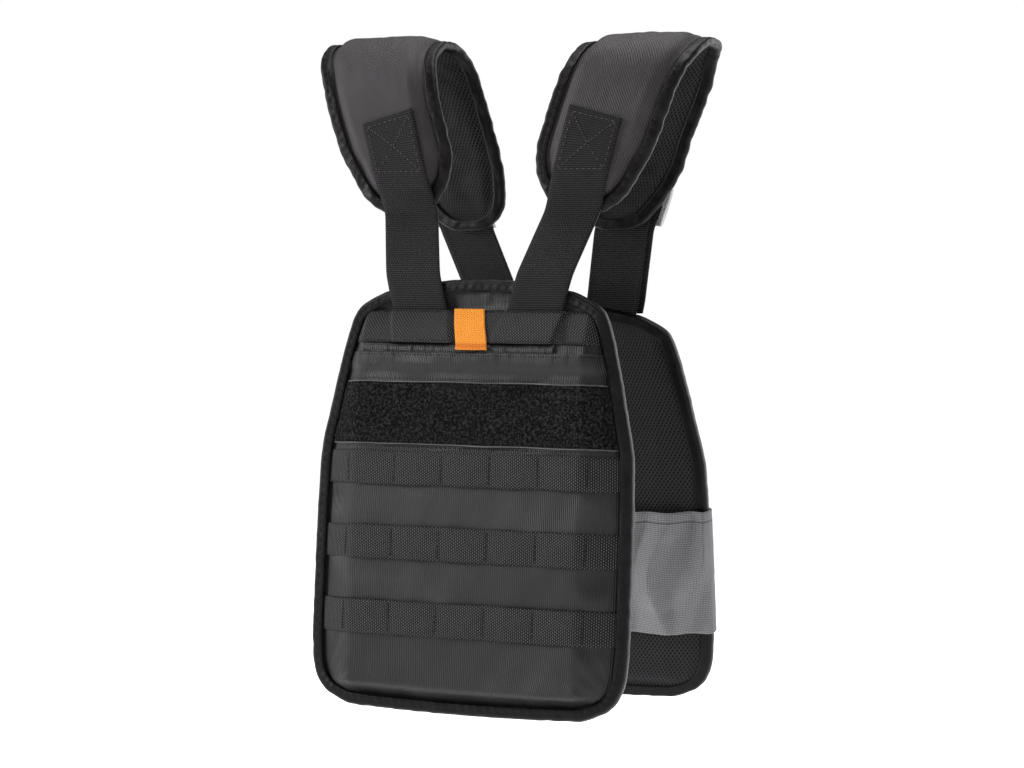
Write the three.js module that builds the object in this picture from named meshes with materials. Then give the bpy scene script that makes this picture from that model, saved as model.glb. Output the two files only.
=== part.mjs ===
import * as THREE from 'three';

// A weighted training vest: a front and a back panel with a weight plate in each,
// hung from two padded shoulder straps. Millimetres, +Z up, the front faces -Y,
// and the origin lies between the two pads, where their undersides rest on the shoulders.

// Cloth, tape and the gap that pieces in contact keep
const gap = 0.35;
const clothWall = 1.6;
const tapeWall = 1.2;
const tapeReach = 7.5;

// Both panels, edge tape included
const panelWidth = 253;
const panelHeight = 323;
const topBow = 26;
const bottomBow = 4;
const bottomBowReach = 30;
const meshPadThickness = 10;
const meshPadEdge = 3.4;

// The weight plate in each panel's pocket
const plateWidth = 174;
const plateThickness = 13.8;
const plateCorner = 22;
const plateTopDrop = 66;
const plateBottomMargin = 23;

// Where the panels hang, below the top of the shoulder pads
const frontPanelDrop = 190;
const frontPanelForward = 75;
const frontPanelLean = 4;
const backPanelDrop = 206;
const backPanelBackward = 69;
const backPanelLean = 9.4;

// Webbing and the loop band on the front
const webbingWidth = 25;
const webbingWall = 1.6;
const topBandDrop = 22;
const pocketMouthDrop = 54;
const mouthOverlap = 11;
const loopBandDrop = 77;
const loopBandWidth = 45;
const loopBandWall = 2.2;
const firstRowDrop = 128;
const rowPitch = 55.5;
const rowCount = 3;
const tackPitch = 38.1;
const tackCount = 6;
const tackHalf = 4;
const loopRise = 1.2;

// The bright pull tab over the top band
const tabWidth = 24;
const tabWall = 1.2;
const tabOffset = -3;
const tabBelow = 5;

// Shoulder pads: each leg is measured from the middle layer at the crest to its tip
const padWidth = 101;
const padSpacing = 107;
const padFrontDrop = 131;
const padRearDrop = 139.5;
const padFrontReach = 54;
const padRearReach = 47;
const padFrontInward = 34;
const padRearInward = 45;
const shoulderShare = 0.3;
const padFoam = 6.5;
const liningFoam = 3;
const padSeamClearance = 1.75;
const padFullShare = 0.82;
const padTipSeamShare = 0.4;

// Shoulder straps, which leave a pad at a named row and run down to a panel
const strapWidth = 44;
const strapWall = 1.8;
const frontStrap = { topX: 84.4, slope: 0.262 };
const rearStrap = { topX: 82.5, slope: 0.262 };
const strapTuck = 45;
const bandShoulder = 2;
const tapeClearance = 0.6;

// The tail of each rear strap and the pale keeper that holds it
const tailTopDrop = 126;
const tailEndDrop = 214;
const tailShift = 4;
const tailStandOff = 2.2;
const keeperDrop = 113;
const keeperWidth = 30;
const keeperWall = 1.4;
const keeperBulge = 12;

// The elastic waist band round the back panel
const waistDrop = 163;
const waistWidth = 100;
const waistWall = 1.8;
const waistSlack = 1.2;
const waistSideSlack = 1.5;
const foldHeight = 4;
const waistSpans = 15;

// Sizes worked out from the ones above
const plateHeight = panelHeight - plateTopDrop - plateBottomMargin;
const edgeProud = gap + tapeWall;
const coreHalf = panelWidth / 2 - edgeProud;
const coreHeight = panelHeight - 2 * edgeProud;
const flangeTop = gap / 2 + clothWall;
const reliefHeight = plateThickness + gap;
const panelTapeTop = flangeTop + clothWall + 2 * gap + tapeWall;
const bandStandOff = strapWall + 2 * gap;
const padHalf = padWidth / 2 - edgeProud;
const padTapeTop = flangeTop + gap + tapeWall;
const padTop = padFoam + liningFoam + 2 * clothWall + gap;
const padMiddle = liningFoam + clothWall + gap / 2;

// The outline of a panel: how wide it is at each drop, as shares of its core height and half width
const panelOutline = [
  { down: 0, half: 0.615 },
  { down: 0.025, half: 0.72 },
  { down: 0.055, half: 0.766 },
  { down: 0.113, half: 0.826 },
  { down: 0.19, half: 0.877 },
  { down: 0.288, half: 0.93 },
  { down: 0.42, half: 0.99 },
  { down: 0.64, half: 1 },
  { down: 0.81, half: 1 },
  { down: 0.888, half: 0.99 },
  { down: 0.942, half: 0.955 },
  { down: 0.975, half: 0.89 },
  { down: 1, half: 0.75 },
];

// How far the plate lifts the outer cloth, down the panel and across it
const reliefDown = [
  { down: 0, lift: 0 },
  { down: 0.025, lift: 0 },
  { down: 0.055, lift: 0 },
  { down: 0.113, lift: 0.55 },
  { down: 0.19, lift: 1 },
  { down: 0.942, lift: 1 },
  { down: 0.975, lift: 0 },
  { down: 1, lift: 0 },
];
const reliefAcross = [0, 0, 0.64, 1, 1, 1, 1, 1, 0.64, 0, 0];

// The middle layer of a shoulder pad from its front tip over the shoulder to its rear tip:
// shares of the leg's drop, of its reach, of its lean inward, of the half width and of the foam
const padSections = [
  { leg: 'front', down: 1, reach: 0.985, inward: 1, half: 0.21, foam: 0 },
  { leg: 'front', down: 0.973, reach: 0.99, inward: 0.99, half: 0.41, foam: 0 },
  { leg: 'front', down: 0.932, reach: 1, inward: 0.98, half: 0.55, foam: 0 },
  { leg: 'front', down: 0.87, reach: 1, inward: 0.95, half: 0.68, foam: 0.7 },
  { leg: 'front', down: 0.78, reach: 1, inward: 0.91, half: 0.8, foam: 1 },
  { leg: 'front', down: 0.62, reach: 1, inward: 0.74, half: 0.92, foam: 1 },
  { leg: 'front', down: 0.443, reach: 0.99, inward: 0.52, half: 0.935, foam: 1, strapEnd: true },
  { leg: 'front', down: 0.318, reach: 0.955, inward: 0.37, half: 0.94, foam: 1 },
  { leg: 'front', down: 0.206, reach: 0.875, inward: 0.24, half: 0.955, foam: 1 },
  { leg: 'front', down: 0.115, reach: 0.73, inward: 0.11, half: 0.975, foam: 1 },
  { leg: 'front', down: 0.042, reach: 0.49, inward: 0.03, half: 0.99, foam: 1 },
  { leg: 'front', down: 0, reach: 0.2, inward: 0, half: 1, foam: 1 },
  { leg: 'rear', down: 0, reach: 0.19, inward: 0, half: 1, foam: 1 },
  { leg: 'rear', down: 0.039, reach: 0.44, inward: 0.07, half: 0.985, foam: 1 },
  { leg: 'rear', down: 0.104, reach: 0.6, inward: 0.17, half: 0.965, foam: 1 },
  { leg: 'rear', down: 0.186, reach: 0.705, inward: 0.24, half: 0.955, foam: 1 },
  { leg: 'rear', down: 0.33, reach: 0.83, inward: 0.39, half: 0.91, foam: 1 },
  { leg: 'rear', down: 0.529, reach: 0.936, inward: 0.6, half: 0.855, foam: 1, strapEnd: true },
  { leg: 'rear', down: 0.66, reach: 0.98, inward: 0.71, half: 0.83, foam: 1 },
  { leg: 'rear', down: 0.79, reach: 1, inward: 0.84, half: 0.74, foam: 1 },
  { leg: 'rear', down: 0.875, reach: 1, inward: 0.93, half: 0.64, foam: 0.7 },
  { leg: 'rear', down: 0.935, reach: 1, inward: 0.97, half: 0.52, foam: 0 },
  { leg: 'rear', down: 0.973, reach: 0.995, inward: 0.98, half: 0.39, foam: 0 },
  { leg: 'rear', down: 1, reach: 0.99, inward: 0.98, half: 0.21, foam: 0 },
];

// Main folds of the waist band on the wearer's side: where each ridge runs across the half width
// at the band's top and bottom, how wide it is as a share of it, and how high
const waistFolds = [
  { top: -0.62, bottom: -0.45, spread: 0.16, height: 0.7 },
  { top: 0.1, bottom: -0.12, spread: 0.14, height: 0.8 },
  { top: 0.62, bottom: 0.22, spread: 0.16, height: 1 },
  { top: 0.95, bottom: 0.78, spread: 0.12, height: 0.6 },
];

const cloth = { color: 0x2b292b, roughness: 0.75, metalness: 0 };
const mesh = { color: 0x141414, roughness: 0.9, metalness: 0 };
const tape = { color: 0x0f0f10, roughness: 0.6, metalness: 0 };
const webbing = { color: 0x18181a, roughness: 0.8, metalness: 0 };
const loopPile = { color: 0x0c0c0d, roughness: 1, metalness: 0 };
const elastic = { color: 0x6f7072, roughness: 0.9, metalness: 0 };
const orange = { color: 0xf07f18, roughness: 0.8, metalness: 0 };
const paleGrey = { color: 0xb9b7b5, roughness: 0.7, metalness: 0 };
const castIron = { color: 0x3a3a3c, roughness: 0.7, metalness: 0.6 };

const vest = new THREE.Group();
const radians = THREE.MathUtils.degToRad;

// A closed solid from points and triangles, turned so that its faces point out
function closedSolid(points, faces) {
  let volume = 0;
  const cross = new THREE.Vector3();
  for (let i = 0; i < faces.length; i += 3) {
    const [a, b, c] = [points[faces[i]], points[faces[i + 1]], points[faces[i + 2]]];
    volume += a.dot(cross.crossVectors(b, c));
  }
  const turned = volume < 0 ? [...faces].reverse() : faces;
  const geometry = new THREE.BufferGeometry();
  geometry.setFromPoints(points);
  geometry.setIndex(turned);
  geometry.computeVertexNormals();
  return geometry;
}

// A solid between an outer and an inner grid of points; its columns may run in a closed loop
function quilt(outer, inner, loop = false) {
  const rows = outer.length;
  const columns = outer[0].length;
  const points = [...outer.flat(), ...inner.flat()];
  const faces = [];
  const at = (layer, row, column) => (layer * rows + row) * columns + (column % columns);
  const quad = (a, b, c, d) => faces.push(a, b, c, a, c, d);
  const spans = loop ? columns : columns - 1;
  for (let row = 0; row < rows - 1; row++) {
    for (let column = 0; column < spans; column++) {
      quad(at(0, row, column), at(0, row, column + 1), at(0, row + 1, column + 1), at(0, row + 1, column));
      quad(at(1, row, column), at(1, row + 1, column), at(1, row + 1, column + 1), at(1, row, column + 1));
    }
    if (!loop) {
      const last = columns - 1;
      quad(at(0, row, 0), at(0, row + 1, 0), at(1, row + 1, 0), at(1, row, 0));
      quad(at(0, row, last), at(1, row, last), at(1, row + 1, last), at(0, row + 1, last));
    }
  }
  const end = rows - 1;
  for (let column = 0; column < spans; column++) {
    quad(at(0, 0, column), at(1, 0, column), at(1, 0, column + 1), at(0, 0, column + 1));
    quad(at(0, end, column), at(0, end, column + 1), at(1, end, column + 1), at(1, end, column));
  }
  return closedSolid(points, faces);
}

// A closed ring through sections, each a closed loop of points
function ringSolid(sections) {
  const sides = sections[0].length;
  const faces = [];
  sections.forEach((section, s) => {
    const here = s * sides;
    const next = ((s + 1) % sections.length) * sides;
    for (let i = 0; i < sides; i++) {
      const j = (i + 1) % sides;
      faces.push(here + i, here + j, next + j, here + i, next + j, next + i);
    }
  });
  return closedSolid(sections.flat(), faces);
}

function addPiece(parent, name, geometry, finish) {
  const piece = new THREE.Mesh(geometry, new THREE.MeshStandardMaterial(finish));
  piece.name = name;
  parent.add(piece);
  return piece;
}

// A value read off a table at a place between its rows
function readTable(table, place, key) {
  const after = table.findIndex((row) => row.down >= place);
  if (after <= 0) return after === 0 ? table[0][key] : table[table.length - 1][key];
  const low = table[after - 1];
  const high = table[after];
  return THREE.MathUtils.mapLinear(place, low.down, high.down, low[key], high[key]);
}

// Edge tape folded over the rim of a flat or curved piece; the rim is a closed loop of points and normals,
// and where it is marked level, over the shoulder, the tape is laid straight across
function edgeTape(rim, over, under) {
  const middle = new THREE.Vector3();
  rim.forEach((place) => middle.addScaledVector(place.point, 1 / rim.length));
  const inside = [over + gap, -(under + gap)];
  const outside = [inside[0] + tapeWall, inside[1] - tapeWall];
  const profile = [
    [-tapeReach, outside[0]],
    [edgeProud, outside[0]],
    [edgeProud, outside[1]],
    [-tapeReach, outside[1]],
    [-tapeReach, inside[1]],
    [gap, inside[1]],
    [gap, inside[0]],
    [-tapeReach, inside[0]],
  ];
  const sections = rim.map(({ point, normal, level }, i) => {
    const before = rim[(i + rim.length - 1) % rim.length].point;
    const after = rim[(i + 1) % rim.length].point;
    const sideBefore = point.clone().sub(before).cross(normal).normalize();
    const sideAfter = after.clone().sub(point).cross(normal).normalize();
    const mitre = sideBefore.clone().add(sideAfter).divideScalar(1 + sideBefore.dot(sideAfter));
    if (level) mitre.set(1, 0, 0);
    if (mitre.dot(point.clone().sub(middle)) < 0) mitre.negate();
    return profile.map(([out, up]) => (
      point.clone().addScaledVector(mitre, out).addScaledVector(normal, up)
    ));
  });
  return ringSolid(sections);
}

const outlineDrops = [...panelOutline.map((row) => row.down * coreHeight), topBandDrop]
  .sort((a, b) => a - b);

// Places on a panel in its group's frame: across, down from the middle of the top edge,
// and out from the layer where cloth and mesh meet. A front panel faces -1 and a back panel 1.
function panelPoint(facing, across, drop, out) {
  const bottomShare = Math.max(0, 1 - (coreHeight - drop) / bottomBowReach);
  const bow = topBow * Math.max(0, 1 - drop / topBandDrop) - bottomBow * bottomShare;
  return new THREE.Vector3(across, facing * out, -(edgeProud + drop + bow * (across / coreHalf) ** 2));
}

function halfWidthAt(drop) {
  return coreHalf * readTable(panelOutline, drop / coreHeight, 'half');
}

// How far in from a panel's edge the tape's stitched side ends, where the outline may run aslant
const seams = new Map();
function seamAt(drop) {
  if (seams.has(drop)) return seams.get(drop);
  const edge = halfWidthAt(drop);
  const corners = outlineDrops.map((at) => panelPoint(1, halfWidthAt(at), at, 0));
  const reach = tapeReach + 2 * gap;
  const nearest = new THREE.Vector3();
  const clear = (across) => corners.slice(1).every((corner, i) => {
    const place = panelPoint(1, across, drop, 0);
    new THREE.Line3(corners[i], corner).closestPointToPoint(place, true, nearest);
    return nearest.distanceTo(place) > reach;
  });
  let seam = edge - reach;
  while (!clear(seam)) seam -= gap;
  seams.set(drop, seam);
  return seam;
}

// Columns of a panel: its edges, the seams inside the edge tape, the slopes and the plate's creases
function columnsAt(drop) {
  const edge = halfWidthAt(drop);
  const seam = seamAt(drop);
  const crease = Math.min(plateWidth / 2 + 2 * gap, seam - tackHalf);
  const slope = (seam + crease) / 2;
  return [-edge, -seam, -slope, -crease, -crease / 2, 0, crease / 2, crease, slope, seam, edge];
}

function clothLift(drop) {
  return reliefHeight * readTable(reliefDown, drop / coreHeight, 'lift');
}

// Height of the outer cloth's face over the middle layer
function clothFace(drop, across) {
  const columns = columnsAt(drop);
  const i = Math.min(Math.max(columns.findIndex((x) => x >= across), 1), columns.length - 1);
  const share = (across - columns[i - 1]) / (columns[i] - columns[i - 1]);
  const lift = THREE.MathUtils.lerp(reliefAcross[i - 1], reliefAcross[i], share);
  return flangeTop + clothLift(drop) * lift;
}

// Drops at which a panel has a row: its outline's own rows and the edges of what is sewn on it
const rowDrops = Array.from({ length: rowCount }, (_, i) => firstRowDrop + i * rowPitch);
const sewnEdges = [
  ...[topBandDrop, topBandDrop + webbingWidth, pocketMouthDrop, pocketMouthDrop + mouthOverlap],
  ...[loopBandDrop, loopBandDrop + loopBandWidth],
  ...rowDrops.flatMap((drop) => [drop, drop + webbingWidth]),
];

function rowsBetween(top, bottom) {
  const all = [...new Set([...outlineDrops, ...sewnEdges, top, bottom])];
  return all.filter((drop) => drop >= top && drop <= bottom).sort((a, b) => a - b);
}

function clothSheet(facing, drops, liftAt) {
  const grid = (height) => drops.map((drop) => columnsAt(drop).map((across) => (
    panelPoint(facing, across, drop, clothFace(drop, across) + liftAt(drop) - height)
  )));
  return quilt(grid(0), grid(clothWall));
}

// How thick the spacer mesh is at a column of the panel
function meshDepth(drop, across) {
  const puff = (clothFace(drop, across) - flangeTop) / reliefHeight;
  return gap / 2 + meshPadEdge + (meshPadThickness - meshPadEdge) * puff;
}

function meshPad(facing) {
  const near = outlineDrops.map((drop) => columnsAt(drop).map((across) => (
    panelPoint(facing, across, drop, -gap / 2)
  )));
  const far = outlineDrops.map((drop) => columnsAt(drop).map((across) => (
    panelPoint(facing, across, drop, -meshDepth(drop, across))
  )));
  return quilt(near, far);
}

function panelRim(facing) {
  const normal = new THREE.Vector3(0, facing, 0);
  const place = (across, drop) => ({ point: panelPoint(facing, across, drop, 0), normal });
  return [
    ...outlineDrops.slice(0, -1).map((drop) => place(-halfWidthAt(drop), drop)),
    ...columnsAt(coreHeight).slice(0, -1).map((across) => place(across, coreHeight)),
    ...[...outlineDrops].reverse().slice(0, -1).map((drop) => place(halfWidthAt(drop), drop)),
    ...[...columnsAt(0)].reverse().slice(0, -1).map((across) => place(across, 0)),
  ];
}

function weightPlate(facing) {
  const half = plateWidth / 2;
  const top = -(plateTopDrop + edgeProud);
  const bottom = top - plateHeight;
  const quarter = Math.PI / 2;
  const shape = new THREE.Shape();
  shape.moveTo(half - plateCorner, top);
  shape.absarc(half - plateCorner, top - plateCorner, plateCorner, quarter, 0, true);
  shape.absarc(half - plateCorner, bottom + plateCorner, plateCorner, 0, -quarter, true);
  shape.absarc(-half + plateCorner, bottom + plateCorner, plateCorner, -quarter, -2 * quarter, true);
  shape.absarc(-half + plateCorner, top - plateCorner, plateCorner, -2 * quarter, -3 * quarter, true);
  const options = { depth: plateThickness - gap, bevelEnabled: false, curveSegments: 4 };
  const plate = new THREE.ExtrudeGeometry(shape, options);
  plate.rotateX(Math.PI / 2);
  plate.translate(0, facing > 0 ? plateThickness : -gap, 0);
  return plate;
}

// A strip sewn on a panel's cloth: its rows follow the panel's own, its columns are given
function sewnStrip(facing, top, width, wall, columnsFor, riseAt) {
  const grid = (height) => rowsBetween(top, top + width).map((drop) => columnsFor(drop).map((across) => (
    panelPoint(facing, across, drop, clothFace(drop, across) + gap + riseAt(across, drop) + height)
  )));
  return quilt(grid(wall), grid(0));
}

// The panel's own columns from its edge tape to the plate's creases, with further ones between:
// over the plate itself the cloth is flat and needs none
function seamColumns(drop, further = []) {
  const panelOwn = columnsAt(drop);
  const own = [...panelOwn.slice(1, 4), ...panelOwn.slice(-4, -1)];
  const free = further.filter((x) => own.every((column) => Math.abs(column - x) > webbingWall));
  return [...own, ...free.filter((x) => x > own[0] && x < own[own.length - 1])].sort((a, b) => a - b);
}

// Rows of webbing with bar tacks: the webbing stands off a little between two tacks
const tacks = Array.from({ length: tackCount }, (_, i) => (i - (tackCount - 1) / 2) * tackPitch);
const tackEdges = tacks.flatMap((x) => [x - tackHalf, x + tackHalf, x + tackPitch / 2]);
const tackColumns = tackEdges.filter((x) => Math.abs(x) < plateWidth / 2 - tackHalf);

function tackRise(across) {
  const far = Math.abs(across) > tacks[tackCount - 1];
  const away = Math.min(...tacks.map((x) => Math.abs(across - x))) - tackHalf;
  return far ? 0 : loopRise * Math.max(0, away / (tackPitch / 2 - tackHalf));
}

// Where a shoulder pad's rows lie: its middle layer and the direction that points out of the pad,
// which is as long as the two faces that meet in a row need it to be
const padRows = padSections.map((row) => {
  const front = row.leg === 'front';
  const reach = front ? -padFrontReach : padRearReach;
  const drop = front ? padFrontDrop : padRearDrop;
  return {
    ...row,
    x: padSpacing - row.inward * (front ? padFrontInward : padRearInward),
    y: row.reach * reach,
    z: padMiddle - row.down * drop,
    width: row.half * padHalf,
  };
});

// The direction square to a path in the YZ plane at each of its places: upward for a path that runs to +Y
function outwardAlong(path) {
  const normals = path.slice(1).map((place, i) => {
    const run = new THREE.Vector3(0, place.y - path[i].y, place.z - path[i].z);
    return new THREE.Vector3(0, -run.z, run.y).normalize();
  });
  return path.map((_, i) => {
    const before = normals[Math.max(i - 1, 0)];
    const after = normals[Math.min(i, normals.length - 1)];
    return before.clone().add(after).divideScalar(1 + before.dot(after));
  });
}

outwardAlong(padRows).forEach((out, i) => {
  padRows[i].out = out;
});

function padPoint(side, row, across, height) {
  return new THREE.Vector3(side * row.x + across, row.y, row.z).addScaledVector(row.out, height);
}

// How far in the foam's seam runs at each row: further where the edge runs aslant
padRows.forEach((row, i) => {
  const near = [padRows[Math.max(i - 1, 0)], padRows[Math.min(i + 1, padRows.length - 1)]];
  const slants = near.map((other) => {
    const apart = Math.hypot(other.y - row.y, other.z - row.z) || 1;
    return (Math.abs(other.x - row.x) + Math.abs(other.width - row.width)) / apart;
  });
  const slant = Math.max(...slants);
  const inFromEdge = (tapeReach + padSeamClearance) * Math.hypot(1, slant);
  padRows[i].seam = Math.max(row.width - inFromEdge, padTipSeamShare * row.width);
});

function padColumns(row) {
  const seam = row.seam;
  const full = padFullShare * seam;
  return [-row.width, -seam, -full, full, seam, row.width];
}
const padPuff = [0, 0, 1, 1, 0, 0];

function padBody(side, faceAt, seat) {
  const face = padRows.map((row) => padColumns(row).map((x, i) => padPoint(side, row, x, faceAt(row, i))));
  const back = padRows.map((row) => padColumns(row).map((x) => padPoint(side, row, x, seat)));
  return quilt(face, back);
}

function padRim(side) {
  const place = (row, across) => ({
    point: padPoint(side, row, across, 0),
    normal: row.out,
    level: row.down < shoulderShare,
  });
  const first = padRows[0];
  const last = padRows[padRows.length - 1];
  return [
    ...padRows.slice(0, -1).map((row) => place(row, -row.width)),
    place(last, -last.width),
    ...[...padRows].reverse().slice(0, -1).map((row) => place(row, row.width)),
    place(first, first.width),
  ];
}

// A flat strap laid along a path: its inner face runs through the places given, its outer face
// stands off by the wall on the side that turn picks, and its upper end is cut square to its slant
function ribbon(path, width, wall, turn, slant) {
  const outward = outwardAlong(path).map((out) => out.multiplyScalar(turn));
  const upward = new THREE.Vector3(0, path[0].y - path[1].y, path[0].z - path[1].z).normalize();
  const grid = (height) => path.map((place, i) => [-1, 1].map((edge) => {
    const raised = i === 0 ? -edge * slant * width / 2 : 0;
    const corner = new THREE.Vector3(place.x + edge * width / 2, place.y, place.z);
    return corner.addScaledVector(upward, raised).addScaledVector(outward[i], height);
  }));
  return quilt(grid(wall), grid(0));
}

// The places where a strap lies on its pad, from its sewn end to the pad's tip
function placesOnPad(leg, standOff) {
  const rows = padRows.filter((row) => row.leg === leg);
  if (leg === 'front') rows.reverse();
  const sewnFrom = rows.findIndex((row) => row.strapEnd);
  return rows.slice(sewnFrom).map((row) => {
    const seat = Math.max(flangeTop + row.foam * padFoam + gap, padTapeTop + tapeClearance);
    return padPoint(0, row, 0, seat + standOff);
  });
}

// The places where it crosses the panel's edge tape and goes under the band
function placesOnPanel(panel, facing, across, standOff) {
  panel.updateMatrixWorld();
  const overTape = panelTapeTop + tapeClearance;
  const reach = edgeProud + tapeReach;
  const world = (drop, out) => panel.localToWorld(panelPoint(facing, across, drop, out + standOff));
  const underBand = rowsBetween(topBandDrop, strapTuck);
  return [
    world(-reach / 2, overTape),
    world(topBandDrop - tapeClearance - strapWall, overTape),
    ...underBand.map((drop) => world(drop, clothFace(drop, across) + gap)),
  ];
}

// Gives each place of a strap its own distance from the middle, by the strap's slope
function slanted(side, places, strap) {
  const top = places[0].z;
  const across = (place) => side * (strap.topX - strap.slope * (top - place.z));
  return places.map((place) => ({ x: across(place), y: place.y, z: place.z }));
}

const frontPanel = new THREE.Group();
frontPanel.position.set(0, -frontPanelForward, padTop - frontPanelDrop);
frontPanel.rotation.x = -radians(frontPanelLean);
vest.add(frontPanel);

const backPanel = new THREE.Group();
backPanel.position.set(0, backPanelBackward, padTop - backPanelDrop);
backPanel.rotation.x = radians(backPanelLean);
vest.add(backPanel);

// What both panels are made of
[
  { panel: frontPanel, facing: -1, name: 'front', strap: frontStrap, leg: 'front' },
  { panel: backPanel, facing: 1, name: 'back', strap: rearStrap, leg: 'rear' },
].forEach(({ panel, facing, name, strap, leg }) => {
  const outerEdge = flangeTop + clothWall + gap;
  const innerEdge = gap / 2 + meshPadEdge;
  const yokeRows = rowsBetween(0, pocketMouthDrop + mouthOverlap);
  const pocketRows = rowsBetween(pocketMouthDrop, coreHeight);
  const overYoke = (drop) => (drop <= pocketMouthDrop + mouthOverlap ? clothWall + gap : 0);
  addPiece(panel, `${name}_mesh_pad`, meshPad(facing), mesh);
  addPiece(panel, `${name}_weight_plate`, weightPlate(facing), castIron);
  addPiece(panel, `${name}_yoke`, clothSheet(facing, yokeRows, () => 0), cloth);
  addPiece(panel, `${name}_pocket`, clothSheet(facing, pocketRows, overYoke), cloth);
  addPiece(panel, `${name}_binding`, edgeTape(panelRim(facing), outerEdge, innerEdge), tape);

  // Straps from the pads, tucked under the top band, which bridges them
  const onPad = placesOnPad(leg, 0);
  const onPanel = placesOnPanel(panel, facing, 0, 0);
  const lengthwise = slanted(1, [...onPad, ...onPanel], strap);
  [[-1, 'left'], [1, 'right']].forEach(([side, sideName]) => {
    const path = slanted(side, [...onPad, ...onPanel], strap);
    const strapSolid = ribbon(path, strapWidth, strapWall, facing, side * strap.slope);
    addPiece(vest, `${name}_strap_${sideName}`, strapSolid, webbing);
  });
  const [topPlace, endPlace] = [lengthwise[lengthwise.length - 3], lengthwise[lengthwise.length - 1]];
  const middleAt = (drop) => THREE.MathUtils.mapLinear(drop, topBandDrop, strapTuck, topPlace.x, endPlace.x);
  const clear = strapWidth / 2 + gap;
  const marks = [-clear - bandShoulder, -clear, clear, clear + bandShoulder];
  const bandMarks = (drop) => [-1, 1].flatMap((side) => marks.map((away) => side * (middleAt(drop) + away)));
  const bandRise = (across, drop) => {
    const away = Math.abs(Math.abs(across) - middleAt(drop)) - clear;
    return bandStandOff * Math.min(1, Math.max(0, 1 - away / bandShoulder));
  };
  addPiece(panel, `${name}_top_band`, sewnStrip(facing, topBandDrop, webbingWidth, webbingWall,
    (drop) => seamColumns(drop, bandMarks(drop)), bandRise), webbing);
});

// What only the front panel carries
addPiece(frontPanel, 'loop_band', sewnStrip(-1, loopBandDrop, loopBandWidth, loopBandWall,
  (drop) => seamColumns(drop), () => 0), loopPile);
rowDrops.forEach((drop, i) => {
  addPiece(frontPanel, `webbing_row_${i + 1}`, sewnStrip(-1, drop, webbingWidth, webbingWall,
    (at) => seamColumns(at, tackColumns), tackRise), webbing);
});
const tabColumns = () => [tabOffset - tabWidth / 2, tabOffset, tabOffset + tabWidth / 2];
const tabLength = webbingWidth + tabBelow;
addPiece(frontPanel, 'pull_tab', sewnStrip(-1, topBandDrop, tabLength, tabWall, tabColumns,
  () => webbingWall + gap), orange);

// Shoulder pads: a padded cover, a spacer mesh lining under it and tape round the edge
[[-1, 'left'], [1, 'right']].forEach(([side, sideName]) => {
  const coverFace = (row, i) => flangeTop + padFoam * row.foam * padPuff[i];
  const liningFace = (row, i) => -(gap / 2 + clothWall + liningFoam * row.foam * padPuff[i]);
  const rim = padRim(side);
  addPiece(vest, `pad_cover_${sideName}`, padBody(side, coverFace, gap / 2), cloth);
  addPiece(vest, `pad_lining_${sideName}`, padBody(side, liningFace, -gap / 2), mesh);
  addPiece(vest, `pad_binding_${sideName}`, edgeTape(rim, flangeTop, gap / 2 + clothWall), tape);
});

// Rear strap tails, which hang behind the straps, and the pale keepers round both
const rearPlaces = [...placesOnPad('rear', 0), ...placesOnPanel(backPanel, 1, 0, 0)];

function alongRear(drop) {
  const z = padTop - drop;
  const low = rearPlaces.findIndex((place) => place.z <= z);
  return rearPlaces[low - 1].clone().lerp(rearPlaces[low], THREE.MathUtils.mapLinear(z,
    rearPlaces[low - 1].z, rearPlaces[low].z, 0, 1));
}

// The places of the rear straps between two drops, each with the direction out of the strap
function stretchOfRear(top, bottom) {
  const between = rearPlaces.filter((place) => place.z < padTop - top && place.z > padTop - bottom);
  const places = [rearPlaces[0], alongRear(top), ...between, alongRear(bottom)];
  const outward = outwardAlong(places);
  return places.slice(1).map((place, i) => ({ place, out: outward[i + 1] }));
}

function strapMiddle(place) {
  return rearStrap.topX - rearStrap.slope * (rearPlaces[0].z - place.z);
}

[[-1, 'left'], [1, 'right']].forEach(([side, sideName]) => {
  const tail = stretchOfRear(tailTopDrop, tailEndDrop).map(({ place, out }) => {
    const behind = place.clone().addScaledVector(out, strapWall + tailStandOff);
    behind.x = side * (strapMiddle(place) + tailShift);
    return behind;
  });
  addPiece(vest, `strap_tail_${sideName}`, ribbon(tail, strapWidth, strapWall, 1, 0), webbing);

  // Across the keeper: its two ends beside the strap, its corners and its bulge behind the tail
  const half = strapWidth / 2 + gap;
  const corner = 2 * strapWall + tailStandOff + gap;
  const arch = [
    { x: -half, out: gap },
    { x: -half, out: corner },
    { x: -half / 2, out: corner + keeperBulge },
    { x: half / 2, out: corner + keeperBulge },
    { x: half + tailShift, out: corner },
    { x: half + tailShift, out: gap },
  ];
  const across = arch.map((at, i) => {
    const runs = [arch[Math.max(i - 1, 0)], arch[Math.min(i + 1, arch.length - 1)]];
    const [before, after] = [[runs[0], at], [at, runs[1]]].map(([a, b]) => {
      const length = Math.hypot(b.x - a.x, b.out - a.out);
      return length ? { x: -(b.out - a.out) / length, out: (b.x - a.x) / length } : null;
    });
    const [first, second] = [before || after, after || before];
    const share = 1 + first.x * second.x + first.out * second.out;
    return { ...at, mitre: { x: (first.x + second.x) / share, out: (first.out + second.out) / share } };
  });
  const layer = (wall) => stretchOfRear(keeperDrop, keeperDrop + keeperWidth).map(({ place, out }) => (
    across.map((at) => {
      const point = place.clone().addScaledVector(out, at.out + wall * at.mitre.out);
      point.x = side * (strapMiddle(place) + at.x + wall * at.mitre.x);
      return point;
    })
  ));
  addPiece(vest, `strap_keeper_${sideName}`, quilt(layer(keeperWall), layer(0)), paleGrey);
});

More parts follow.
